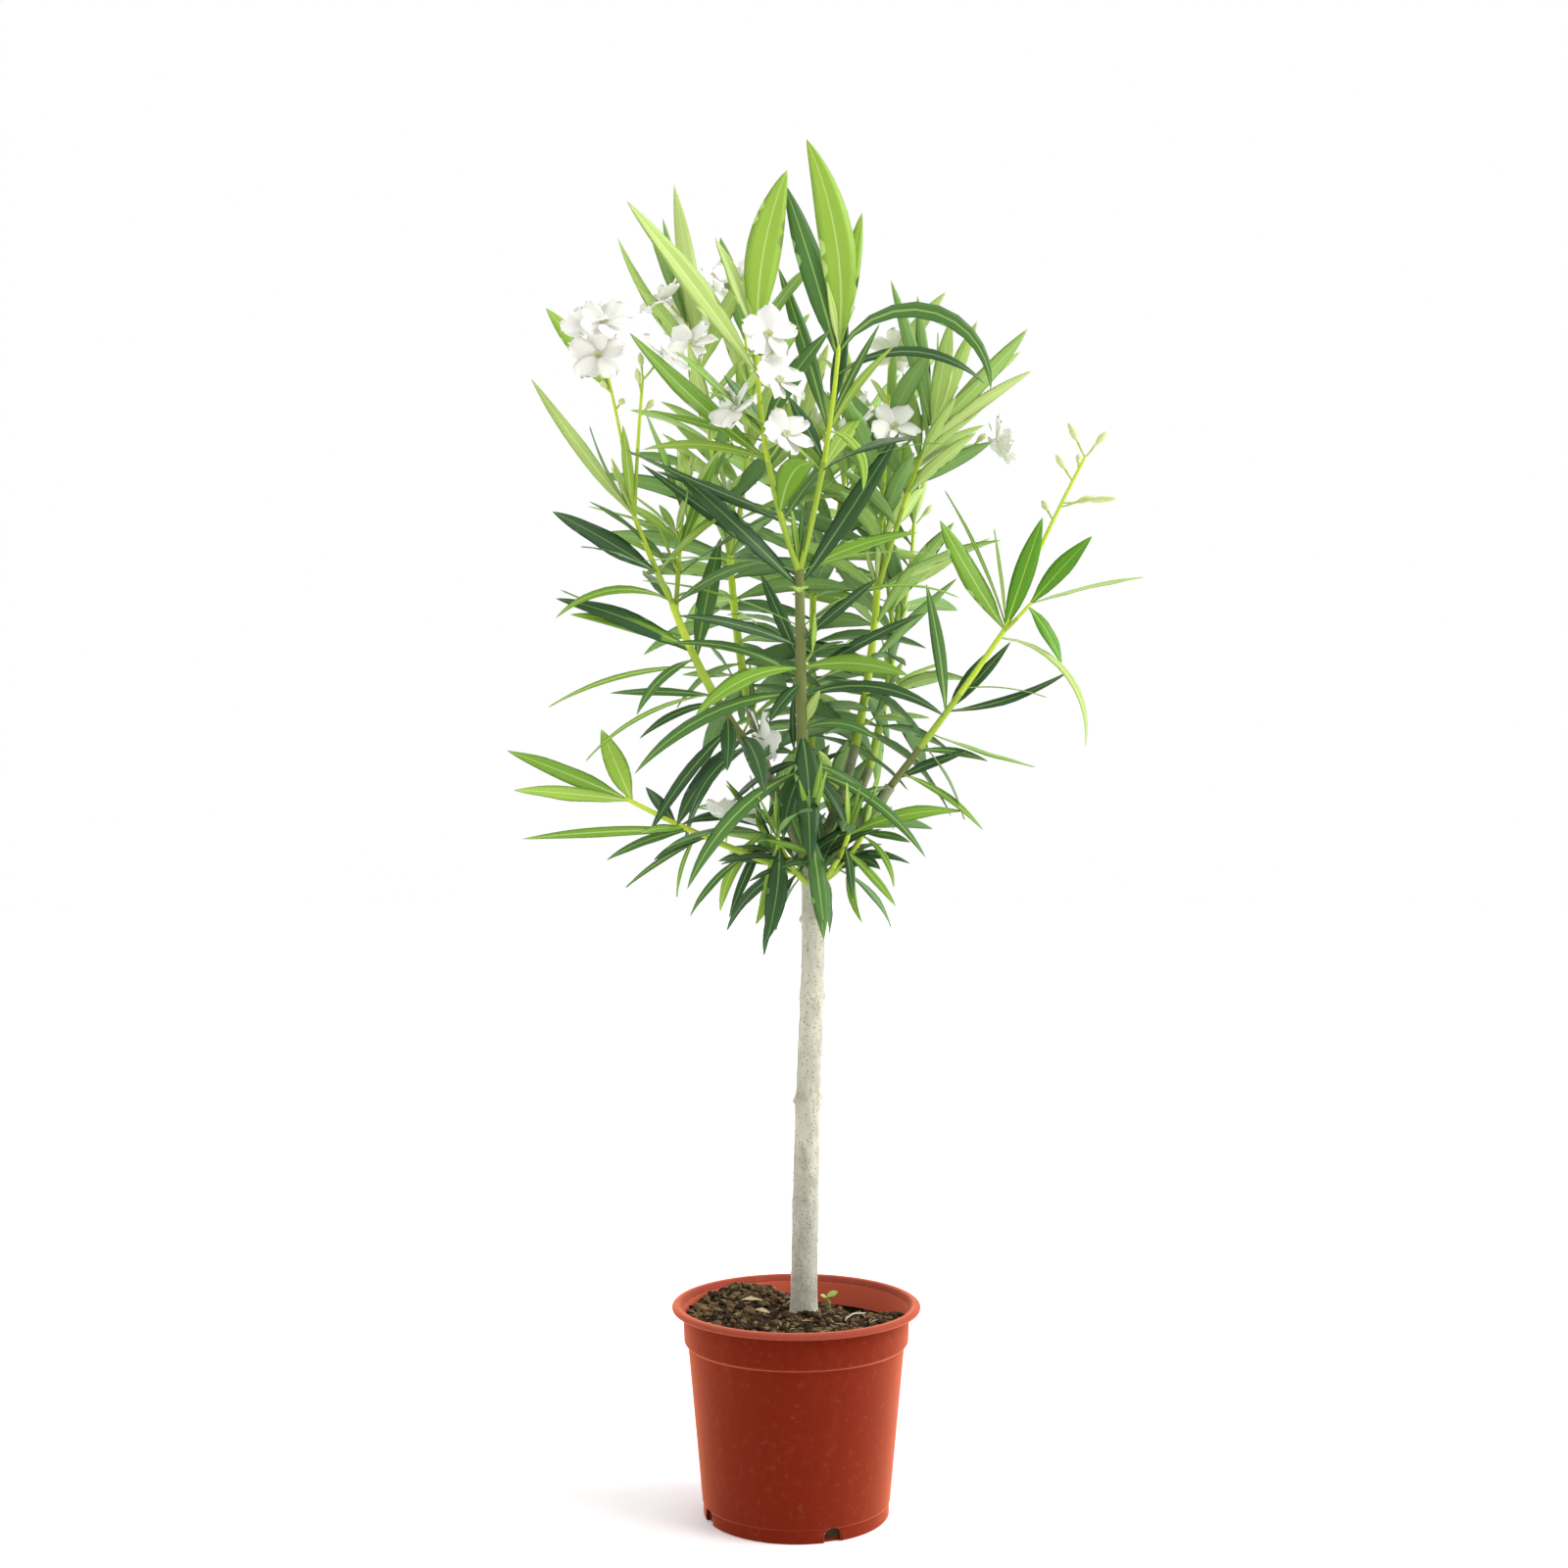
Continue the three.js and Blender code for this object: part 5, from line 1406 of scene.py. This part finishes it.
masses = sorted(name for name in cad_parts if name.startswith("foliage_"))
foliage.pieces(masses)
STEM_COLOURS = (
    ("olive", (0.15, 0.175, 0.05)),
    ("green", (0.31, 0.43, 0.045)),
    ("young", (0.46, 0.59, 0.05)),
)
stem_finishes = [
    plain_finish(f"stem_{name}", colour, (0.45, 0.65), scale=300, bump=0.0002, Specular_IOR_Level=0.2)
    for name, colour in STEM_COLOURS
]
stems.piece("stems", stem_finishes, "young_bark", masses)
petal = plain_finish("petal", (0.77, 0.765, 0.72), (0.5, 0.65), scale=300, bump=0.00002,
                     Subsurface_Weight=1.0, Subsurface_Radius=(0.004, 0.004, 0.003))
bud_cream = plain_finish("bud_cream", (0.52, 0.58, 0.24), (0.45, 0.6), scale=500, bump=0.00008)
throat_yellow = plain_finish("throat", (0.7, 0.72, 0.36), (0.5, 0.65), scale=500, bump=0.00008)
stalk_green = plain_finish("stalk_green", (0.34, 0.48, 0.07), (0.5, 0.65), scale=500, bump=0.00008)
blossom.piece("blossom", [petal, bud_cream], "foliage", masses)
throats.piece("flower_throats", [throat_yellow, petal], "foliage", masses)
greens.piece("flower_stalks", [stalk_green], "foliage", masses)


# Trunk and boughs


def relief_noise(points, size, octaves=4):
    """Fractal noise from about -1 to 1 at points in millimetres, for features of that size."""
    return np.array([noise.fractal(Vector(p / size), 0.9, 2.1, octaves) for p in points])


def arc_from(bearing, turn):
    """How far round the trunk bearings lie from a turn, in millimetres."""
    return np.abs((bearing - turn + 180) % 360 - 180) / 360 * 2 * np.pi * TRUNK_MEAN_RADIUS


def bark_trunk():
    """The trunk's bark, with old buds, leaf scars, rings at the knots and warts."""
    stations = np.linspace(0, 1, TRUNK_RINGS)
    radii = np.array([trunk.radius(s) for s in stations]) + lerp(*BARK_THICKNESS, stations)
    plain, outward = limb_skin(trunk, TRUNK_SIDES, stations, radii)
    relief = TRUNK_RELIEF * relief_noise(plain, size=11)
    relief = relief + TRUNK_FINE_RELIEF * relief_noise(plain * FIBRE_STRETCH, size=2.4, octaves=3)
    height = plain[:, 2] - GROUND_Z
    bearing = np.degrees(np.arctan2(outward[:, 1], outward[:, 0]))
    for place, turn, out, tall in TRUNK_BUDS:
        around = arc_from(bearing, turn)
        across = around / TRUNK_BUD_HALF_WIDTH
        along = (height - place) / (tall / 2)
        hump = np.exp(-(across**2) - along**2)
        below = (height - place + tall * LEAF_SCAR["below"]) / LEAF_SCAR["half_height"]
        scar = np.exp(-((around / LEAF_SCAR["half_width"]) ** 2) - below**2)
        relief += out * hump - LEAF_SCAR["depth"] * scar
    for knot in KNOTS:
        above = height - knot["height"] + KNOT_RING["slant"] * np.sin(np.radians(bearing))
        relief -= KNOT_RING["depth"] * np.exp(-((above / KNOT_RING["half_height"]) ** 2))
    draw = drawer(seed=77)
    for _ in range(WARTS):
        place = TRUNK_HEIGHT * draw()
        turn = 360 * draw()
        size = drawn(draw, *WART_SIZE)
        near = np.abs(height - place) < WART_REACH
        around = arc_from(bearing[near], turn)
        wart = np.exp(-((around / size) ** 2) - ((height[near] - place) / (size * WART_TALLNESS)) ** 2)
        relief[near] += WART_HEIGHT * wart
    sheaf = Sheaf()
    sheaf.add(plain + outward * relief[:, None], ring_faces(TRUNK_RINGS, TRUNK_SIDES), 0)
    return sheaf


def bark_boughs():
    """The boughs' thinner bark, with a collar at each foot and ringed leaf scars."""
    sheaf = Sheaf()
    stations = np.linspace(BOUGH_FOOT, 1, BOUGH_RINGS)
    for name in bough_names:
        path = paths[name]
        collar = BOUGH_COLLAR * np.exp(-np.clip(stations, 0, 1) * path.length / BOUGH_COLLAR_LENGTH)
        scars = np.maximum(np.cos(2 * np.pi * stations * path.length / BOUGH_SCAR_SPACING), 0)
        radii = np.array([path.radius(s) for s in stations]) + collar + BOUGH_SCAR_HEIGHT * scars**10
        plain, outward = limb_skin(path, BOUGH_SIDES, stations, radii)
        relief = BOUGH_RELIEF * relief_noise(plain, size=7)
        relief = relief + BOUGH_FINE_RELIEF * relief_noise(plain, size=1.6, octaves=3)
        sheaf.add(plain + outward * relief[:, None], ring_faces(BOUGH_RINGS, BOUGH_SIDES), 0)
    return sheaf


TRUNK_BARK = bark_finish("trunk_bark", (0.5, 0.475, 0.385), (0.3, 0.29, 0.235), (0.1, 0.08, 0.055))
bark_trunk().piece("trunk_bark", [TRUNK_BARK], "trunk_bark", ["trunk"])
BOUGH_BARK = bark_finish("bough_bark", (0.24, 0.26, 0.14), (0.14, 0.16, 0.08), (0.08, 0.07, 0.04))
bark_boughs().piece("bough_bark", [BOUGH_BARK], "young_bark", bough_names)


# Pot


def rounded(outline, radius):
    """An outline with its corners turned into arcs that start at most a radius away from them."""
    points = [np.array(p, float) for p in outline]
    smooth = [points[0]]
    for before, corner, after in zip(points, points[1:], points[2:]):
        nearest = min(np.linalg.norm(before - corner), np.linalg.norm(after - corner))
        reach = min(radius, nearest * CORNER_SHARE)
        start = corner + unit(before - corner) * reach
        end = corner + unit(after - corner) * reach
        for i in range(CORNER_STEPS + 1):
            t = i / CORNER_STEPS
            smooth.append((1 - t) ** 2 * start + 2 * t * (1 - t) * corner + t**2 * end)
    return smooth + [points[-1]]


def lathe(outline, sides):
    """A closed body turned from an outline that begins and ends on the axis."""
    rings = np.array(outline[1:-1])
    turns = 2 * np.pi * np.arange(sides) / sides
    points = [
        np.stack((r * np.cos(turns), r * np.sin(turns), np.full(sides, z)), axis=1) for r, z in rings
    ]
    points = np.concatenate(points)
    faces = ring_faces(len(rings), sides, False, False)
    bottom, top = len(points), len(points) + 1
    points = np.concatenate((points, [(0, 0, outline[0][1]), (0, 0, outline[-1][1])]))
    last = (len(rings) - 1) * sides
    for j in range(sides):
        k = (j + 1) % sides
        faces.append((bottom, k, j))
        faces.append((top, last + j, last + k))
    return points, faces


def inner_outline(clearance):
    """The inside of the pot's wall and floor from the lip down, drawn in by a clearance."""
    return [
        (COLLAR_TOP_RADIUS - WALL - clearance, POT_HEIGHT - LIP_THICKNESS),
        (COLLAR_FOOT_RADIUS - WALL - clearance, COLLAR_FOOT_Z + clearance),
        (BODY_TOP_RADIUS - WALL - clearance, COLLAR_FOOT_Z - STEP_HEIGHT + clearance),
        (BODY_FOOT_RADIUS - 2 * WALL - clearance, FLOOR_THICKNESS + clearance),
        (0, FLOOR_THICKNESS + clearance),
    ]


def pot_piece():
    """The pot, with one material outside, one on the lip, paler for scuffs and a painted highlight, and one
    inside, lighter with painted light glowing through the thin wall.
    """
    lip_under = POT_HEIGHT - LIP_THICKNESS
    outline = [
        (0, 0),
        (FOOT_BAND_RADIUS, 0),
        (FOOT_BAND_RADIUS, FOOT_BAND_HEIGHT),
        (BODY_FOOT_RADIUS, FOOT_BAND_HEIGHT + 1),
        (BODY_TOP_RADIUS, COLLAR_FOOT_Z - STEP_HEIGHT),
        (COLLAR_FOOT_RADIUS, COLLAR_FOOT_Z),
        (COLLAR_TOP_RADIUS, lip_under - 1),
        (LIP_RADIUS - 0.4, lip_under),
        (LIP_RADIUS, POT_HEIGHT - 2),
        (LIP_RADIUS - LIP_EASE, POT_HEIGHT),
        (LIP_INNER_RADIUS + LIP_EASE, POT_HEIGHT - 0.4),
        (LIP_INNER_RADIUS, lip_under),
        *inner_outline(0)[1:],
    ]
    smooth = rounded(outline, POT_CORNER)
    points, faces = lathe(smooth, POT_SIDES)
    lip = next(i for i, (r, z) in enumerate(smooth) if r > COLLAR_TOP_RADIUS + 2)
    mouth = next(i for i, (r, z) in enumerate(smooth) if i > lip and r < LIP_INNER_RADIUS + 0.5)
    rings = [min(face) // POT_SIDES for face in faces]
    sheaf = Sheaf()
    sheaf.add(points, faces, [int(ring >= lip - 1) + int(ring >= mouth) for ring in rings])
    finishes = [
        pot_finish("terracotta_outside", (0.12, 0.008, 0.002), (0.15, 0.012, 0.004), 0.16),
        # The lip's paler plastic is partly scuffs and dust, partly a painted highlight along its top
        pot_finish("terracotta_lip_scuffs_and_painted_highlight", (0.22, 0.04, 0.026), (0.28, 0.052, 0.034), 0.3),
        # The inside's lighter plastic is painted light: the glow through the thin wall and the light on the
        # inner back wall
        pot_finish("terracotta_inside_painted_glow", (0.5, 0.09, 0.048), (0.6, 0.12, 0.065), 0.1),
    ]
    pot = sheaf.piece("pot_shell", finishes, "pot_plastic", ["pot"])
    for bearing in NOTCH_BEARINGS:
        cut_notch(pot, bearing)


def cut_notch(pot, bearing):
    """An arched drain notch through the wall and the floor's edge."""
    half = NOTCH_WIDTH / 2
    spring = NOTCH_HEIGHT - half
    arch = [(-half, -NOTCH_OVERCUT), (half, -NOTCH_OVERCUT)]
    arch += [(half * math.cos(a), spring + half * math.sin(a)) for a in np.linspace(0, math.pi, NOTCH_STEPS)]
    out = heading(bearing, 90)
    across = heading(bearing + 90, 90)
    near, far = BODY_FOOT_RADIUS - NOTCH_DEPTH / 2, BODY_FOOT_RADIUS + NOTCH_DEPTH / 2
    points = [out * r + across * y + UP * z for r in (near, far) for y, z in arch]
    cutter = place_object("notch", new_mesh("notch", points, ring_faces(2, len(arch))))
    change = pot.modifiers.new("notch", "BOOLEAN")
    change.operation = "DIFFERENCE"
    change.solver = "EXACT"
    change.object = cutter
    bpy.context.view_layer.update()
    cut = bpy.data.meshes.new_from_object(pot.evaluated_get(bpy.context.evaluated_depsgraph_get()))
    pot.modifiers.remove(change)
    pot.data = cut
    bpy.data.objects.remove(cutter)


pot_piece()


# Potting mix


def heaped(heaps, x, y):
    """The height that round heaps and hollows add up to at a place."""
    return sum(
        h["height"] * np.exp(-((x - h["x"]) ** 2 + (y - h["y"]) ** 2) / h["radius"] ** 2) for h in heaps
    )


def soil_top(x, y):
    """The soil's height without its crumbs, flat round the trunk."""
    away = np.hypot(x - TRUNK_FOOT_X, y)
    return GROUND_Z - GAP + smoothstep(away, SOIL_FLAT_RADIUS, SOIL_SLOPE_RADIUS) * heaped(SOIL_HEAPS, x, y)


def soil_surface(x, y):
    """The soil's height with its crumbly relief, which fades towards the pot's wall."""
    flat = np.stack((x, y, np.zeros_like(x)), axis=1)
    rough = SOIL_RELIEF * relief_noise(flat, size=15, octaves=5)
    rough = rough + SOIL_FINE_RELIEF * relief_noise(flat + 90, size=5)
    fading = 1 - SOIL_FADE * smoothstep(np.hypot(x, y), *SOIL_FADE_RADII)
    return soil_top(x, y) + heaped(SOIL_UNEVEN, x, y) + rough * fading


def ground(x, y):
    """The point of the soil's surface at a place."""
    return np.array((x, y, float(soil_surface(np.array((x,), float), np.array((y,), float))[0])))


def soil_bed():
    """The body of mix that fills the pot, with its uneven top."""
    rim = COLLAR_FOOT_RADIUS - WALL - GAP
    sides = inner_outline(GAP)[1:][::-1]
    rings = sides + [(rim, GROUND_Z - SOIL_EDGE_DEPTH)]
    rings += [(rim * (1 - i / SOIL_RINGS), GROUND_Z) for i in range(SOIL_RINGS)] + [(0, GROUND_Z)]
    points, faces = lathe(rings, SOIL_SIDES)
    top = np.arange(len(points)) >= len(sides) * SOIL_SIDES
    top[-2] = False
    points[top, 2] = soil_surface(points[top, 0], points[top, 1])
    sheaf = Sheaf()
    sheaf.add(points, faces, 0)
    return sheaf


def lump(centre, size, draw):
    """An irregular crumb: a cube's corners and faces drawn out by chance."""
    points = np.concatenate((CUBE_CORNERS * CORNER_REACH, CUBE_MIDDLES))
    points *= np.array([drawn(draw, *LUMP_REACH) for _ in points])[:, None]
    points *= np.array([drawn(draw, *spread) for spread in LUMP_SPREADS])
    turn = 2 * math.pi * draw()
    spin = np.array(((math.cos(turn), -math.sin(turn), 0), (math.sin(turn), math.cos(turn), 0), (0, 0, 1)))
    return centre + size * points @ spin.T


CUBE_CORNERS = np.array([(x, y, z) for x in (-1, 1) for y in (-1, 1) for z in (-1, 1)], float)
CUBE_MIDDLES = np.array([(1, 0, 0), (-1, 0, 0), (0, 1, 0), (0, -1, 0), (0, 0, 1), (0, 0, -1)], float)
CORNER_REACH = 0.58
LUMP_FACES = [
    (i, j, k)
    for k, quad in ((8, (4, 6, 7, 5)), (9, (0, 1, 3, 2)), (10, (2, 3, 7, 6)), (11, (0, 4, 5, 1)),
                    (12, (1, 5, 7, 3)), (13, (0, 2, 6, 4)))
    for i, j in zip(quad, quad[1:] + quad[:1])
]
CLOD_RINGS = 9
CLOD_SIDES = 14
CLOD_FACES = ring_faces(CLOD_RINGS, CLOD_SIDES)


def clod(centre, size, draw):
    """A rough ball of mix."""
    rises = np.linspace(-CLOD_POLE, CLOD_POLE, CLOD_RINGS)
    turns = 2 * np.pi * np.arange(CLOD_SIDES) / CLOD_SIDES
    across = np.sqrt(1 - rises**2)[:, None]
    upward = np.repeat(rises[:, None], CLOD_SIDES, axis=1)
    ball = np.stack((across * np.cos(turns), across * np.sin(turns), upward), axis=-1).reshape(-1, 3)
    ball *= [drawn(draw, *spread) for spread in CLOD_SPREADS]
    rough = 1 + CLOD_ROUGHNESS * relief_noise(centre + ball * size, size=size * 0.6)
    return centre + size * ball * rough[:, None]


def bare(x, y, rim, margin):
    """Whether a place lies within the rim and clear of the trunk's foot by a margin."""
    return math.hypot(x, y) < rim and math.hypot(x - TRUNK_FOOT_X, y) > TRUNK_FOOT_RADIUS + margin


def soil_crumbs():
    """Crumbs all over the mix, and clods that lie mostly on its highest heap."""
    sheaf = Sheaf()
    draw = drawer(seed=5)
    rim = COLLAR_FOOT_RADIUS - WALL - 3
    crumbs = []
    while len(crumbs) < CRUMBS:
        x = rim * (2 * draw() - 1)
        y = rim * (2 * draw() - 1)
        if bare(x, y, rim, 2):
            crumbs.append((x, y, drawn(draw, *CRUMB_SIZE, 6), int(CRUMB_KINDS * draw() ** 1.5)))
    x, y, _, _ = np.array(crumbs).T
    for (x, y, size, kind), z in zip(crumbs, soil_surface(x, y)):
        sheaf.add(lump(np.array((x, y, z + size * CRUMB_LIFT)), size, draw), LUMP_FACES, kind)
    clods = []
    while len(clods) < CLODS:
        heap = SOIL_HEAPS[0] if draw() < CLODS_ON_HEAP else CLOD_FIELD
        x = heap["x"] + heap["radius"] * CLOD_SCATTER * (2 * draw() - 1)
        y = heap["y"] + heap["radius"] * CLOD_SCATTER * (2 * draw() - 1)
        if bare(x, y, rim - 5, 6):
            clods.append((x, y, drawn(draw, *CLOD_SIZE, 2), int(CRUMB_KINDS * draw())))
    for x, y, size, kind in clods:
        sheaf.add(clod(ground(x, y) + UP * size * CLOD_LIFT, size, draw), CLOD_FACES, kind)
    return sheaf


soil_dark = soil_finish("soil_dark", (0.014, 0.008, 0.004), (0.07, 0.042, 0.02))
soil_bed().piece("soil_bed", [soil_dark], "potting_mix", ["soil"])
soil_crumbs().piece(
    "soil_crumbs",
    [
        soil_finish("crumb_dark", (0.014, 0.008, 0.004), (0.05, 0.03, 0.015)),
        soil_finish("crumb_brown", (0.05, 0.029, 0.013), (0.2, 0.12, 0.058)),
        soil_finish("crumb_mossy", (0.07, 0.05, 0.017), (0.23, 0.165, 0.07)),
    ],
    "potting_mix",
    ["soil"],
)


# A seedling and litter on the potting mix


def thread(sheaf, points, radii, slot):
    """A thin round strand through a few points, eased between them."""
    steps = np.linspace(0, len(points) - 1, THREAD_STEPS * len(points))
    centres = np.stack([np.interp(steps, range(len(points)), axis) for axis in np.array(points).T], axis=1)
    centres[1:-1] = (centres[:-2] + 2 * centres[1:-1] + centres[2:]) / 4
    widths = np.interp(steps, range(len(radii)), radii)
    add_round(sheaf, centres, widths, THREAD_SIDE, THREAD_FRONT, THREAD_SIDES, slot)


def soil_litter():
    """A seedling with two seed leaves, a white root, husks and bits of straw."""
    sheaf = Sheaf()
    foot = ground(*SEEDLING_PLACE)
    tip = foot + (-2, -1, 10)
    thread(sheaf, [foot - UP * 2, foot + (1.5, 0, 5), tip], [0.8, 0.7, 0.5], 0)
    for bearing, length in SEED_LEAVES:
        leaf = make_leaf(tip, heading(bearing, lean=54), UP, length, width=length * 0.62, bend=20, roll=0)
        sheaf.add(leaf_points(leaf, drawer(bearing)), LEAF_FACES, 0)
    root = ground(*ROOT_PLACE)
    thread(sheaf, [root - UP, root + (1, 0, 5), root + (7, 1, 9), root + (17, 2, 9)], [0.4, 0.7, 0.6, 0.4], 1)
    for x, y, bearing, length, width in HUSKS:
        out = heading(bearing, lean=80)
        husk = make_leaf(ground(x, y) + UP * HUSK_LIFT, out, UP, length, width, bend=34, roll=24)
        sheaf.add(leaf_points(husk, drawer(int(length))), LEAF_FACES, 2)
    draw = drawer(seed=31)
    for _ in range(FIBRES):
        turn = 2 * math.pi * draw()
        away = FIBRE_FIELD * math.sqrt(draw())
        if away < TRUNK_FOOT_RADIUS + 8:
            continue
        foot = ground(away * math.cos(turn), away * math.sin(turn)) + UP * FIBRE_LIFT
        out = heading(360 * draw(), drawn(draw, *FIBRE_LEAN)) * drawn(draw, *FIBRE_LENGTH)
        thread(sheaf, [foot, foot + out * 0.5 + UP * 1.2 * draw(), foot + out], [0.2, 0.32, 0.2], 2)
    return sheaf


soil_litter().piece(
    "soil_litter",
    [
        plain_finish("seedling_green", (0.24, 0.4, 0.06), (0.4, 0.55), scale=200, bump=0.00002),
        plain_finish("root_white", (0.62, 0.58, 0.48), (0.6, 0.75), scale=300, bump=0.00005),
        plain_finish("husk_straw", (0.42, 0.33, 0.17), (0.6, 0.8), scale=300, bump=0.0001),
    ],
    "potting_mix",
    ["soil"],
)


# Studio


def studio_floor():
    """A flat round sheet, with rings that widen outward."""
    points = [(0, 0, 0)]
    for i in range(1, FLOOR_RINGS + 1):
        reach = FLOOR_RADIUS * (i / FLOOR_RINGS) ** 1.5
        for j in range(FLOOR_SIDES):
            turn = 2 * math.pi * j / FLOOR_SIDES
            points.append((reach * math.cos(turn), reach * math.sin(turn), 0))
    faces = [(0, 1 + j, 1 + (j + 1) % FLOOR_SIDES) for j in range(FLOOR_SIDES)]
    for i in range(FLOOR_RINGS - 1):
        low, high = 1 + i * FLOOR_SIDES, 1 + (i + 1) * FLOOR_SIDES
        for j in range(FLOOR_SIDES):
            k = (j + 1) % FLOOR_SIDES
            faces.append((low + j, high + j, high + k, low + k))
    mesh = new_mesh("floor", points, faces)
    mesh.materials.append(plain_finish("floor_white", (0.95, 0.95, 0.95), (0.8, 0.9), scale=3, bump=0.0001))
    place_object("floor", mesh)


FLOOR_RADIUS = 9000
FLOOR_SIDES = 96
FLOOR_RINGS = 40
DOME_MIDDLE = 1.0
DOME_TOWARDS_BACK = 0.7
DOME_TOWARDS_RIGHT = 0.36
SUNS = (
    {"name": "key", "energy": 3.3, "width": 50, "towards": heading(348, 54)},
    {"name": "fill", "energy": 1.1, "width": 60, "towards": heading(204, 60)},
)

studio_floor()
scene = bpy.context.scene
world = bpy.data.worlds.new("studio")
world.use_nodes = True
dome = world.node_tree
background = dome.nodes["Background"]
background.inputs["Color"].default_value = (1, 1, 1, 1)
# The dome is white where it is seen, and as light it is brighter behind and at the right than in front
place = dome.nodes.new("ShaderNodeTexCoord").outputs["Generated"]
tilt = dome.nodes.new("ShaderNodeVectorMath")
tilt.operation = "DOT_PRODUCT"
tilt.inputs[1].default_value = (DOME_TOWARDS_RIGHT, DOME_TOWARDS_BACK, 0)
dome.links.new(place, tilt.inputs[0])
light = dome.nodes.new("ShaderNodeMath")
light.operation = "ADD"
light.inputs[1].default_value = DOME_MIDDLE
dome.links.new(tilt.outputs["Value"], light.inputs[0])
brightness = dome.nodes.new("ShaderNodeMix")
brightness.inputs["B"].default_value = 1.0
dome.links.new(dome.nodes.new("ShaderNodeLightPath").outputs["Is Camera Ray"], brightness.inputs["Factor"])
dome.links.new(light.outputs["Value"], brightness.inputs["A"])
dome.links.new(brightness.outputs["Result"], background.inputs["Strength"])
scene.world = world
scene.view_settings.view_transform = "Standard"
for spec in SUNS:
    sun = bpy.data.lights.new(spec["name"], "SUN")
    sun.energy, sun.angle = spec["energy"], math.radians(spec["width"])
    lamp = bpy.data.objects.new(spec["name"], sun)
    lamp.rotation_euler = Vector(-spec["towards"]).to_track_quat("-Z", "Y").to_euler()
    bpy.context.collection.objects.link(lamp)

CAMERA_PLACE = (-10.35, -1750, 614.5)
PHOTO_WIDTH = 1600
FOCAL_PIXELS = 2112.8
SENSOR_WIDTH = 36
camera = bpy.data.cameras.new("camera")
camera.sensor_width = SENSOR_WIDTH
camera.lens = SENSOR_WIDTH * FOCAL_PIXELS / PHOTO_WIDTH
eye = bpy.data.objects.new("camera", camera)
eye.location = Vector(CAMERA_PLACE) * MM
eye.rotation_euler = (math.radians(90), 0, 0)
bpy.context.collection.objects.link(eye)
scene.camera = eye
